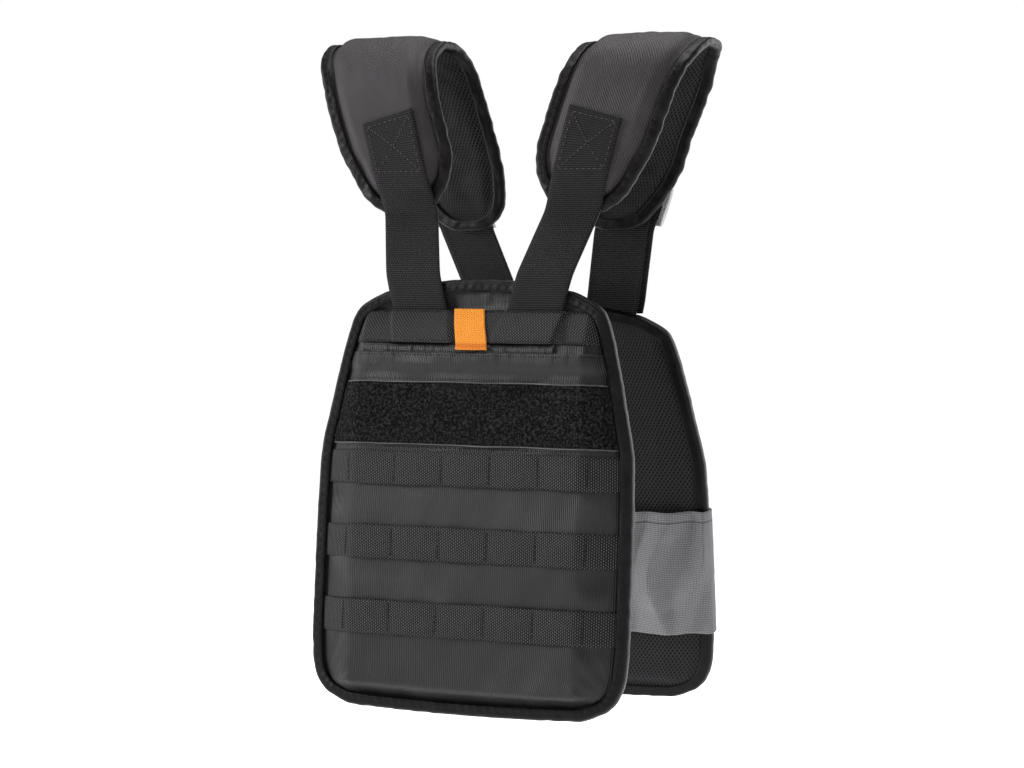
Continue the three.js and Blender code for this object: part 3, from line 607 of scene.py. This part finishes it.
# Shoulder pads: the middle layer's rows from the front tip over the shoulder to the rear tip
pad = {
    "width": 101, "spacing": 107, "frontDrop": 131, "rearDrop": 139.5, "frontReach": 54, "rearReach": 47,
    "crestShift": {-1: 1.0, 1: -3.4}, "frontInward": 34, "rearInward": 45, "foam": 6.5, "lining": 3,
    "seamIn": 9.3, "middle": 4.775, "columns": 46, "rows": 150, "cushionFill": 0.8, "meshFill": 0.5,
    "wall": 1.5, "tapeScallop": 2.2,
    "front": {
        "down": [1, 0.973, 0.932, 0.87, 0.78, 0.62, 0.443, 0.318, 0.206, 0.115, 0.042, 0],
        "reach": [0.985, 0.99, 1, 1, 1, 1, 0.99, 0.955, 0.875, 0.73, 0.49, 0.2],
        "inward": [1, 0.99, 0.98, 0.95, 0.91, 0.74, 0.52, 0.37, 0.24, 0.11, 0.03, 0],
        "half": [0.21, 0.41, 0.55, 0.68, 0.8, 0.92, 0.935, 0.94, 0.955, 0.975, 0.99, 1],
        "foam": [0, 0, 0, 0.7, 1, 1, 1, 1, 1, 1, 1, 1]},
    "rear": {
        "down": [0, 0.039, 0.104, 0.186, 0.33, 0.529, 0.66, 0.79, 0.875, 0.935, 0.973, 1],
        "reach": [0.19, 0.44, 0.6, 0.705, 0.83, 0.936, 0.98, 1, 1, 1, 0.995, 0.99],
        "inward": [0, 0.07, 0.17, 0.24, 0.39, 0.6, 0.71, 0.84, 0.93, 0.97, 0.98, 0.98],
        "half": [1, 0.985, 0.965, 0.955, 0.91, 0.855, 0.83, 0.74, 0.64, 0.52, 0.39, 0.21],
        "foam": [1, 1, 1, 1, 1, 1, 1, 1, 0.7, 0, 0, 0]},
}
padHalf = pad["width"] / 2 - edgeProud
padRows = []
for leg in ("front", "rear"):
    table, drop, inward = pad[leg], pad[leg + "Drop"], pad[leg + "Inward"]
    reach = -pad["frontReach"] if leg == "front" else pad["rearReach"]
    for i in range(12):
        padRows.append({
            "leg": leg, "x": pad["spacing"] - table["inward"][i] * inward, "y": table["reach"][i] * reach,
            "z": pad["middle"] - table["down"][i] * drop, "width": table["half"][i] * padHalf,
            "foam": table["foam"][i]})
padRun = [0.0]
for a, b in zip(padRows, padRows[1:]):
    padRun.append(padRun[-1] + math.hypot(b["y"] - a["y"], b["z"] - a["z"]))
padLength = padRun[-1]
padRead = {key: smoothTable(padRun, [row[key] for row in padRows])
           for key in ("x", "y", "z", "width", "foam")}


# A place on a pad: how far along it, how far from its middle line, and how high over its middle layer
def onPad(hand, run, across, height):
    run = clamp(run, 0, padLength)
    step = 1.5
    a, b = clamp(run - step, 0, padLength), clamp(run + step, 0, padLength)
    tangent = Vector((0, padRead["y"](b) - padRead["y"](a), padRead["z"](b) - padRead["z"](a))).normalized()
    out = Vector((0, -tangent.z, tangent.y))
    sag = pad["crestShift"][hand] * math.exp(-((run - padLength * 0.49) / 60) ** 2)
    middle = Vector((hand * padRead["x"](run) + across, padRead["y"](run), padRead["z"](run) + sag))
    return middle + out * height, out


def padSeam(run):
    width = padRead["width"](run)
    slant = abs(padRead["width"](run + 2) - padRead["width"](run - 2)) / 4
    slant += abs(padRead["x"](run + 2) - padRead["x"](run - 2)) / 4
    return max(width - pad["seamIn"] * math.hypot(1, slant), 0.4 * width)


# The cover's foam rises from the seam with a round shoulder, and crowns a little in the middle
def padPuff(run, across):
    t = clamp(1 - abs(across) / padSeam(run))
    return (1 - (1 - min(t * 3.2, 1)) ** 2.2) * 0.93 + 0.07 * ease(t)


for handName, hand in (("left", -1), ("right", 1)):
    def coverPlace(s, t, hand=hand):
        run = t * padLength
        across = (2 * s - 1) * padRead["width"](run)
        puff = padPuff(run, across)
        fold = ripple(across, run, 60 + hand, 28) * 1.3 + ripple(across * 2.2, run, 66 + hand, 15) * 0.5
        fold *= puff
        seam = padSeam(run)
        pinch = math.exp(-((abs(across) - seam) / 1.6) ** 2) * 0.35
        height = cloth["seat"] + pad["foam"] * padRead["foam"](run) * puff
        return onPad(hand, run, across, height + fold - pinch)[0]

    def liningPlace(s, t, hand=hand):
        run = t * padLength
        across = (2 * s - 1) * padRead["width"](run)
        puff = padPuff(run, across)
        crest = math.exp(-((run - padLength * 0.5) / 45) ** 2)
        crumple = crest * ripple(across * 0.5, run, 77, 7) * 1.6
        fold = (ripple(across, run * 1.5, 71 + hand, 16) * 1.3 + crumple) * puff
        height = cloth["gap"] / 2 + cloth["wall"] + pad["lining"] * padRead["foam"](run) * puff
        return onPad(hand, run, across, -height - fold)[0]

    centre = Vector((hand * (pad["spacing"] - 15), 0, -95))
    cover, _ = makeSheet(f"pad_cushion_{handName}", pad["columns"], pad["rows"], coverPlace,
                         (2 * padHalf, padLength), lambda c, m=centre: c - m, pad["wall"])
    dress(cover, finishes["padTwill"], "pad_twill", f"pad_cover_{handName}")
    lining, _ = makeSheet(f"pad_mesh_{handName}", pad["columns"], pad["rows"], liningPlace,
                          (2 * padHalf, padLength), lambda c, m=centre: m - c, pad["wall"])
    dress(lining, finishes["spacerMesh"], "spacer_mesh", f"pad_lining_{handName}")

    runs = [padLength * i / 120 for i in range(121)]
    rim = [onPad(hand, r, -padRead["width"](r), 0) for r in runs]
    rim += [onPad(hand, padLength, mix(-1, 1, i / 6) * padRead["width"](padLength), 0) for i in range(1, 6)]
    rim += [onPad(hand, r, padRead["width"](r), 0) for r in reversed(runs)]
    rim += [onPad(hand, 0, mix(1, -1, i / 6) * padRead["width"](0), 0) for i in range(1, 6)]
    edgeTape(f"pad_tape_{handName}", rim, padTapeTop, -padTapeTop, f"pad_binding_{handName}", 80 + hand,
             pad["tapeScallop"])
print("pads made")

# Shoulder straps: along the pad, free to the panel, then under the top band
strap = {
    "width": 44, "wall": 1.8, "tuck": 45, "bandDrop": 22, "bandWidth": 25, "bandWall": 1.6,
    "front": {"topX": 84.4, "slope": 0.262, "sewnRow": 6},
    "back": {"topX": 82.5, "slope": 0.262, "sewnRow": 17},
    "boxWidth": 36, "boxLength": 42, "overTape": 0.6, "columns": 22, "rows": 110,
}


def strapPlaces(side):
    if side == "front":
        rows = padRows[:strap["front"]["sewnRow"] + 1][::-1]
    else:
        rows = padRows[strap["back"]["sewnRow"]:]
    places = []
    for row in rows:
        run = padRun[padRows.index(row)]
        seat = max(cloth["seat"] + row["foam"] * pad["foam"] + cloth["gap"], padTapeTop + strap["overTape"])
        point, _ = onPad(1, run, 0, seat)
        places.append(Vector((0, point.y, point.z)))
    for drop in (-4.5, 19.6):
        places.append(onPanel(side, 0, drop, panelTapeTop + strap["overTape"]))
    for drop in (strap["bandDrop"], 29, 36, strap["tuck"]):
        places.append(onPanel(side, 0, drop, faceHeight(drop, 0) + cloth["gap"]))
    return places


# Evenly spaced places of a strap's inner face with the direction out of it
def strapLine(side, step=2.0):
    rough = strapPlaces(side)
    dense = []
    for a, b in zip(rough, rough[1:]):
        count = max(1, round((b - a).length / step))
        dense += [a.lerp(b, k / count) for k in range(count)]
    dense.append(rough[-1])
    for _ in range(6):
        inner = [(a + b * 2 + c) / 4 for a, b, c in zip(dense, dense[1:], dense[2:])]
        dense = [dense[0]] + inner + [dense[-1]]
    line, run = [], 0.0
    for i, point in enumerate(dense):
        tangent = dense[min(i + 1, len(dense) - 1)] - dense[max(i - 1, 0)]
        tangent.normalize()
        out = Vector((0, tangent.z, -tangent.y))
        if out.y * sides[side]["facing"] < 0:
            out = -out
        run += (point - dense[i - 1]).length if i else 0
        line.append((run, point, out))
    return line


strapLines = {side: strapLine(side) for side in sides}


def onStrap(side, hand, run, across, height, squared=True):
    line = strapLines[side]
    facts = strap[side]
    if squared:
        run += across * hand * facts["slope"] * clamp(1 - run / 40)
    extra = min(run, 0)
    run = clamp(run, 0, line[-1][0])
    i = min(int(run / line[-1][0] * (len(line) - 1)), len(line) - 2)
    while i > 0 and line[i][0] > run:
        i -= 1
    while i < len(line) - 2 and line[i + 1][0] < run:
        i += 1
    t = (run - line[i][0]) / max(line[i + 1][0] - line[i][0], 1e-6)
    point = line[i][1].lerp(line[i + 1][1], t)
    if extra:
        point = point + (line[0][1] - line[1][1]).normalized() * -extra
    out = line[i][2].lerp(line[i + 1][2], t).normalized()
    x = hand * (facts["topX"] - facts["slope"] * (line[0][1].z - point.z)) + across
    return Vector((x, point.y, point.z)) + out * height, out


for side in sides:
    length = strapLines[side][-1][0]
    for handName, hand in (("left", -1), ("right", 1)):
        def strapPlace(s, t, side=side, hand=hand, length=length):
            across = (s - 0.5) * strap["width"]
            bow = 0.35 * ripple(across * 0.4, t * length, 90 + hand, 30)
            rounded = -0.5 * ease(abs(2 * s - 1) * 6 - 5)
            height = strap["wall"] + (bow + rounded) * ease(t * 8) * ease((1 - t) * 8)
            return onStrap(side, hand, t * length, across, height)[0]
        away = Vector((0, sides[side]["facing"], 0))
        piece, _ = makeSheet(
            f"{side}_shoulder_strap_{handName}", strap["columns"], strap["rows"], strapPlace,
            (strap["width"], length), lambda c, away=away: away, strap["wall"] - 0.1)
        dress(piece, finishes["webbing"], "webbing", f"{side}_strap_{handName}")


# Rows of single stitches laid on a surface; each is a small smooth bead
def sewRuns(name, runs, stitch=(3.0, 4.1, 0.42), slot="webbing", finish="thread"):
    bm = bmesh.new()
    long, pitch, thick = stitch
    for corners in runs:
        for (a, outA), (b, outB) in zip(corners, corners[1:]):
            count = max(1, round((b - a).length / pitch))
            way = (b - a).normalized()
            for k in range(count):
                t = (k + 0.5) / count
                out = outA.lerp(outB, t).normalized()
                side = way.cross(out).normalized()
                turn = Matrix((way, side, out)).transposed().to_4x4()
                size = Matrix.Diagonal((long / 2 * mm, thick * mm, thick * 0.8 * mm, 1))
                spot = Matrix.Translation(a.lerp(b, t) * mm)
                bmesh.ops.create_icosphere(bm, subdivisions=1, radius=1, matrix=spot @ turn @ size)
    piece = finishMesh(name, bm)
    return dress(piece, finishes[finish], slot)


boxRuns = []
for side in sides:
    for hand in (-1, 1):
        halfBox, boxLong = strap["boxWidth"] / 2, strap["boxLength"]
        spots = {"a": (-halfBox, 4), "b": (halfBox, 4), "c": (halfBox, boxLong), "d": (-halfBox, boxLong)}

        def edge(start, end, side=side, hand=hand, spots=spots):
            (x0, r0), (x1, r1) = spots[start], spots[end]
            height = strap["wall"] + 0.15
            return [onStrap(side, hand, mix(r0, r1, k / 8), mix(x0, x1, k / 8), height) for k in range(9)]
        boxRuns += [edge(start, end) for start, end in ("ab", "bc", "cd", "da", "ac", "bd")]
sewRuns("box_stitches", boxRuns, finish="paleThread")
print("straps made")

# Sewn strips across the front: top bands, loop band and three rows of webbing
strips = {"tackPitch": 38.1, "tackCount": 6, "loopRise": 1.2, "firstRow": 128, "rowPitch": 55.5,
          "loopDrop": 77, "loopWidth": 45, "loopWall": 2.2, "rowWidth": 25, "rowWall": 1.6, "columns": 150}
tacks = [(i - 2.5) * strips["tackPitch"] for i in range(strips["tackCount"])]


def strapMiddleAt(side, drop):
    z = onPanel(side, 0, drop, 0).z
    facts = strap[side]
    return facts["topX"] - facts["slope"] * (strapLines[side][0][1].z - z)


def bandRise(side, across, drop):
    away = abs(abs(across) - strapMiddleAt(side, drop)) - strap["width"] / 2
    return (strap["wall"] + 0.7) * (1 - ease(away / 3.5))


# Past its last bar tack the front band is pressed flat
def bandLift(side, across, drop):
    pressed = ease((across - 71) / 4) * 0.9 if side == "front" else 0
    return bandRise(side, across, drop) * (1 - pressed) - pressed * 0.3


def tackRise(across):
    away = min(abs(across - x) for x in tacks)
    if abs(across) > tacks[-1]:
        return 0
    return strips["loopRise"] * math.sin(math.pi * clamp(away / strips["tackPitch"])) ** 0.8


def stripPiece(name, side, top, width, wall, riseAt, finish, slot, node, rows=12, seed=100):
    def place(s, t):
        drop = top + t * width
        across = (2 * s - 1) * (seamWidth(drop) + 1.5)
        base = faceHeight(drop, across) + cloth["gap"] + wall + riseAt(across, drop)
        wave = ripple(across, drop * 0.5, seed, 24) * 0.35
        lip = -0.45 * (1 - ease(min(t, 1 - t) * 9))
        ends = ease((1 - abs(2 * s - 1)) * 14)
        return onPanel(side, across, drop + ripple(across, 0, seed + 7, 40) * 0.5, base + lip + wave * ends)
    piece, _ = makeSheet(
        name, strips["columns"], rows, place, (2 * coreHalf, width), panelOutward(side), wall - 0.2)
    dress(piece, finish, slot, node)


for side in sides:
    stripPiece(f"{side}_band", side, strap["bandDrop"], strap["bandWidth"], strap["bandWall"],
               lambda x, d, side=side: bandLift(side, x, d), finishes["webbingAcross"], "webbing",
               f"{side}_top_band")
stripPiece("front_loop_band", "front", strips["loopDrop"], strips["loopWidth"], strips["loopWall"],
           lambda x, d: 0, finishes["loopPile"], "loop_pile", "loop_band", rows=20, seed=120)
rowDrops = [strips["firstRow"] + i * strips["rowPitch"] for i in range(3)]
for i, rowDrop in enumerate(rowDrops):
    stripPiece(f"front_webbing_row_{i + 1}", "front", rowDrop, strips["rowWidth"], strips["rowWall"],
               lambda x, d: tackRise(x), finishes["webbingAcross"], "webbing", f"webbing_row_{i + 1}",
               seed=130 + i)


# Places on the front panel's cloth with the direction out of it, for stitches to follow
def onFront(across, drop, lift):
    return onPanel("front", across, drop, faceHeight(drop, across) + lift), outOf["front"]


# A bar tack: a dense zigzag down the webbing
def tackRun(across, top, length, lift):
    count = 11
    return [onFront(across + (1.1 if k % 2 else -1.1), top + length * k / count, lift)
            for k in range(count + 1)]


barRuns = [tackRun(x, rowDrop + 2, 21, 2.15) for rowDrop in rowDrops for x in tacks]
barRuns += [tackRun(x, strap["bandDrop"] + 1, 23, 3.2) for x in (69, 70.5)]
sewRuns("bar_tacks", barRuns, (2.9, 2.6, 0.5))

# Lines of stitching along the loop band's and the front band's edges
edgeRuns = []
loopEdges = [(strips["loopDrop"] + inset, 2.5, False) for inset in (1.8, strips["loopWidth"] - 1.8)]
bandEdges = [(strap["bandDrop"] + inset, 2.0, True) for inset in (1.6, strap["bandWidth"] - 1.6)]
for drop, lift, onBand in loopEdges + bandEdges:
    run = []
    for k in range(61):
        x = mix(-1, 1, k / 60) * seamWidth(drop)
        run.append(onFront(x, drop, lift + (bandRise("front", x, drop) if onBand else 0)))
    edgeRuns.append(run)
sewRuns("edge_stitches", edgeRuns, (2.4, 3.4, 0.32))

# Gathered strip in the pocket's mouth, between the band and the hem
gatherStrip = {"top": 47.6, "height": 6.6, "left": -87, "right": 66, "pleat": 0.9, "wall": 0.9}


def gatherPlace(s, t):
    across = mix(gatherStrip["left"], gatherStrip["right"], s)
    across = clamp(across, -seamWidth(gatherStrip["top"]) + 1, seamWidth(gatherStrip["top"]) - 1)
    drop = gatherStrip["top"] + t * gatherStrip["height"] + math.sin(s * math.pi) * 0.8
    pleat = ripple(across, drop * 0.15, 181, 3.2) * gatherStrip["pleat"] + ripple(across, 0, 183, 11) * 0.6
    return onFront(across, drop, 1.6 + pleat + 0.9 * math.sin(math.pi * t))[0]


gatherSize = (gatherStrip["right"] - gatherStrip["left"], gatherStrip["height"])
gatherPiece, _ = makeSheet(
    "pocket_mouth_gather", 150, 8, gatherPlace, gatherSize, panelOutward("front"), gatherStrip["wall"])
dress(gatherPiece, finishes["ribbedCloth"], "ribbed_cloth")

# The pocket's hem: two rows of stitches, and the selvage above and below the loop band, a real folded edge
# whose pale colour is a painted highlight
loopEnd = strips["loopDrop"] + strips["loopWidth"]
hemRuns = []
for drop, lift in ((panel["mouthDrop"] + 2.4, 2.0), (strips["loopDrop"] - 3, 0.1), (loopEnd + 3, 0.1)):
    xs = [mix(-1, 1, k / 60) * (seamWidth(drop) - 1) for k in range(61)]
    hemRuns.append([onFront(x, drop, lift + pocketFold("front", x, drop)) for x in xs])
sewRuns("hem_stitches", hemRuns, (2.3, 3.6, 0.38), "ribbed_cloth")
for number, drop in ((1, strips["loopDrop"] - 1.1), (2, loopEnd + 0.1)):
    def selvagePlace(s, t, drop=drop):
        x = mix(-1, 1, s) * seamWidth(drop)
        d = drop + t * 1.2 + ripple(x, 0, 170 + drop, 30) * 0.6
        lift = 1.2 + 0.8 * math.sin(math.pi * t) + ripple(x, 0, 175, 12) * 0.3
        return onFront(x, d, lift)[0]
    piece, _ = makeSheet(
        f"loop_band_selvage_{number}", 120, 4, selvagePlace, (2 * coreHalf, 1.2), panelOutward("front"), 0.6)
    dress(piece, finishes["selvage"], "ribbed_cloth")

# The bright pull tab: folded over the band, its end a little proud
tab = {"width": 24, "start": -6.5, "below": 5, "wall": 1.2, "skew": 8.5}


def tabPlace(s, t):
    drop = strap["bandDrop"] - 1 + t * (strap["bandWidth"] + tab["below"] + 1)
    across = tab["start"] + t * tab["skew"] + (s - 0.5) * tab["width"] * (1 + 0.03 * t)
    curl = 1.6 * ease((t - 0.82) / 0.18) * (1 + 0.3 * math.sin(s * 5))
    rise = strap["bandWall"] + 2 * cloth["gap"] + tab["wall"] - 0.3 * ease(1 - t * 6)
    return onFront(across, drop, rise + curl)[0]


tabPiece, _ = makeSheet("orange_pull_tab", 20, 26, tabPlace, (tab["width"], 30), panelOutward("front"), 1.1)
dress(tabPiece, finishes["orangeWebbing"], "orange_webbing", "pull_tab")
print("strips made")

# Rear strap tails and the pale keepers round strap and tail
tail = {"top": 126, "end": 214, "shift": 4, "standOff": 2.2, "keeperDrop": 115, "keeperWidth": 31,
        "keeperWall": 1.4, "bulge": 15, "flare": 5, "padTop": 13.05}


def rearRunAt(drop):
    z = tail["padTop"] - drop
    return next((run for run, point, _ in strapLines["back"] if point.z <= z), strapLines["back"][-1][0])


for handName, hand in (("left", -1), ("right", 1)):
    start, end = rearRunAt(tail["top"]), rearRunAt(tail["end"])

    def tailPlace(s, t, hand=hand, start=start, end=end):
        across = (s - 0.5) * strap["width"]
        sway = 0.6 * ease(t) * math.sin(t * 5 + hand)
        height = 2 * strap["wall"] + tail["standOff"] + sway
        return onStrap("back", hand, mix(start, end, t), across + hand * tail["shift"], height, False)[0]
    piece, _ = makeSheet(f"rear_strap_tail_{handName}", 20, 50, tailPlace, (strap["width"], end - start),
                         lambda c: Vector((0, 1, 0)), strap["wall"] - 0.1)
    dress(piece, finishes["webbing"], "webbing", f"strap_tail_{handName}")

    sideShift = (tail["shift"] + tail["flare"]) / 2
    halfArch = strap["width"] / 2 + 0.4 + sideShift
    tallArch = 2 * strap["wall"] + tail["standOff"] + 0.4 + tail["bulge"]
    arch = []
    for k in range(8):
        level, rise = math.cos(math.pi * k / 7), math.sin(math.pi * k / 7)
        arch.append((sideShift - halfArch * math.copysign(abs(level) ** 0.85, level),
                     0.5 + tallArch * rise ** 0.85))
    archX = smoothTable(list(range(8)), [x for x, _ in arch])
    archOut = smoothTable(list(range(8)), [y for _, y in arch])
    keeperStart = rearRunAt(tail["keeperDrop"])
    keeperEnd = rearRunAt(tail["keeperDrop"] + tail["keeperWidth"])

    def keeperPlace(s, t, hand=hand, a=keeperStart, b=keeperEnd, archX=archX, archOut=archOut):
        height = archOut(s * 7) + tail["keeperWall"] + 0.2 * math.cos(t * tau)
        return onStrap("back", hand, mix(a, b, t), hand * archX(s * 7), height, False)[0]
    piece, _ = makeSheet(f"pale_keeper_{handName}", 64, 24, keeperPlace, (70, tail["keeperWidth"]),
                         lambda c: Vector((0, 1, 0)), tail["keeperWall"] - 0.1)
    dress(piece, finishes["paleTape"], "pale_tape", f"strap_keeper_{handName}")
print("keepers made")

# Waist band: a loop round the back panel, gathered on the wearer's side
waist = {"drop": 163, "width": 100, "wall": 1.4, "slack": 1.2, "side": 0.6, "steps": 300, "rows": 44,
         "folds": [
             {"down": [0, 0.55, 1], "place": [0.82, 0.64, 0.75], "spread": 0.17, "height": 10},
             {"down": [0, 0.45, 1], "place": [1.08, 0.98, 0.8], "spread": 0.12, "height": 7},
             {"down": [0, 1], "place": [0.58, 0.42], "spread": 0.12, "height": 7},
             {"down": [0, 1], "place": [0.1, -0.12], "spread": 0.14, "height": 4},
             {"down": [0, 1], "place": [-0.62, -0.45], "spread": 0.15, "height": 4}]}
for fold in waist["folds"]:
    fold["read"] = smoothTable(fold["down"], fold["place"])


def waistFold(share, place):
    total = 0
    for fold in waist["folds"]:
        away = (place - fold["read"](share)) / fold["spread"]
        steep = away * (1.9 if away > 0 else 0.8)
        height = fold["height"] * (0.55 + 0.45 * math.sin(math.pi * share))
        total = max(total, height * max(0, 1 - abs(steep)))
    return total


def waistLoop(drop):
    edge = halfWidth(drop)
    beside = edge + edgeProud + waist["side"] + 0.7
    inner = cloth["gap"] / 2 + panel["meshEdge"] + 2 * cloth["gap"] + cloth["tapeWall"] + waist["slack"]
    outer = panelTapeTop + waist["slack"]
    share = (drop - waist["drop"]) / waist["width"]
    loop = []
    for k in range(41):
        x = mix(-edge, edge, k / 40)
        loop.append((x, max(faceHeight(drop, x) + cloth["gap"] + waist["slack"], outer) + waist["wall"]))
    loop += [(beside, outer - 2), (beside + 0.3, 0), (beside, -inner + 2)]
    for k in range(101):
        x = mix(edge, -edge, k / 100)
        depth = max(inner, meshDepth(drop, x)[0] + 1 + waist["slack"])
        crease = waistFold(share, x / edge) + 0.8 * ripple(x + share * 42, share * 22, 150, 9)
        loop.append((x, -depth - crease - waist["wall"]))
    loop += [(-beside, -inner + 2), (-beside - 0.3, 0), (-beside, outer - 2)]
    return loop


waistRows = waist["rows"]
waistLoops = []
for r in range(waistRows + 1):
    drop = waist["drop"] + waist["width"] * r / waistRows
    hem = 0.45 * (1 - ease(abs(min(r, waistRows - r) / waistRows * waist["width"] - 8) / 1.2 - 0.3))
    raw = [Vector((x, y, 0)) for x, y in waistLoop(drop)]
    evened, loopLength = evenRim([(p, Vector((0, 0, 1))) for p in raw], waist["steps"])
    waistLoops.append([(p.x, p.y * (1 - 0.05 * hem), drop) for p, _ in evened])


def waistPlace(s, t):
    x, out, drop = waistLoops[round(t * waistRows)][round(s * waist["steps"]) % waist["steps"]]
    return onPanel("back", x, drop, out)


waistMiddle = onPanel("back", 0, waist["drop"] + waist["width"] / 2, 3)


def waistOutward(centre):
    return Vector((centre.x * 0.1, centre.y - waistMiddle.y - (centre.z - waistMiddle.z) * 0.165, 0))


waistPiece, waistArea = makeSheet(
    "grey_waist_band", waist["steps"], waistRows, waistPlace, (loopLength, waist["width"]),
    waistOutward, waist["wall"] - 0.2, loop=True)
dress(waistPiece, finishes["greyElastic"], "grey_elastic", "waist_band")
round(loopLength * mm, 3)
print("waist band", round(loopLength), round(waistArea, 4))

# Camera as fitted to the photograph, then floor and light
cameraData = bpy.data.cameras.new("camera")
cameraData.lens = 81.51
cameraData.sensor_width = 36
camera = bpy.data.objects.new("camera", cameraData)
camera.matrix_world = Matrix((
    (0.927080, -0.020426, 0.374309, 0.66733),
    (0.374675, 0.018543, -0.926971, -1.66432),
    (0.011994, 0.999621, 0.024843, -0.21176),
    (0, 0, 0, 1)))
bpy.context.collection.objects.link(camera)
bpy.context.scene.camera = camera

studio = {"floorHeight": -0.66, "floorSize": 60, "floorGlow": 0.78, "ambient": 0.28, "lights": [
    {"name": "key", "spot": (-2.2, -1.1, 0.7), "size": 1.1, "power": 82},
    {"name": "fill", "spot": (1.9, -1.5, 0.1), "size": 1.4, "power": 11},
    {"name": "top", "spot": (0.1, 0.1, 1.5), "size": 1.4, "power": 34},
    {"name": "behind", "spot": (1.2, 1.8, 0.3), "size": 1.6, "power": 26}]}
bm = bmesh.new()
bmesh.ops.create_grid(bm, x_segments=2, y_segments=2, size=studio["floorSize"] / 2)
for v in bm.verts:
    v.co.z = studio["floorHeight"]
floor = finishMesh("studio_floor", bm)
floorFinish = bpy.data.materials.new("floor_paint")
floorFinish.use_nodes = True
floorShader = floorFinish.node_tree.nodes["Principled BSDF"]
floorShader.inputs["Base Color"].default_value = (0.95, 0.95, 0.95, 1)
floorShader.inputs["Roughness"].default_value = 1.0
floorShader.inputs["Specular IOR Level"].default_value = 0.0
floorShader.inputs["Emission Color"].default_value = (1, 1, 1, 1)
floorShader.inputs["Emission Strength"].default_value = studio["floorGlow"]
floor.data.materials.append(floorFinish)

aim = Vector((0.0, -0.03, -0.25))
for facts in studio["lights"]:
    lampData = bpy.data.lights.new(facts["name"], "AREA")
    lampData.energy = facts["power"]
    lampData.size = facts["size"]
    lamp = bpy.data.objects.new(facts["name"], lampData)
    lamp.location = facts["spot"]
    lamp.rotation_euler = (aim - Vector(facts["spot"])).to_track_quat("-Z", "Y").to_euler()
    bpy.context.collection.objects.link(lamp)

world = bpy.data.worlds.new("studio")
world.use_nodes = True
around = world.node_tree.nodes["Background"]
backdrop = world.node_tree.nodes.new("ShaderNodeBackground")
seen = world.node_tree.nodes.new("ShaderNodeLightPath")
both = world.node_tree.nodes.new("ShaderNodeMixShader")
around.inputs["Color"].default_value = backdrop.inputs["Color"].default_value = (1, 1, 1, 1)
around.inputs["Strength"].default_value = studio["ambient"]
world.node_tree.links.new(seen.outputs["Is Camera Ray"], both.inputs[0])
world.node_tree.links.new(around.outputs[0], both.inputs[1])
world.node_tree.links.new(backdrop.outputs[0], both.inputs[2])
world.node_tree.links.new(both.outputs[0], world.node_tree.nodes["World Output"].inputs[0])
bpy.context.scene.world = world
bpy.context.scene.view_settings.view_transform = "Standard"
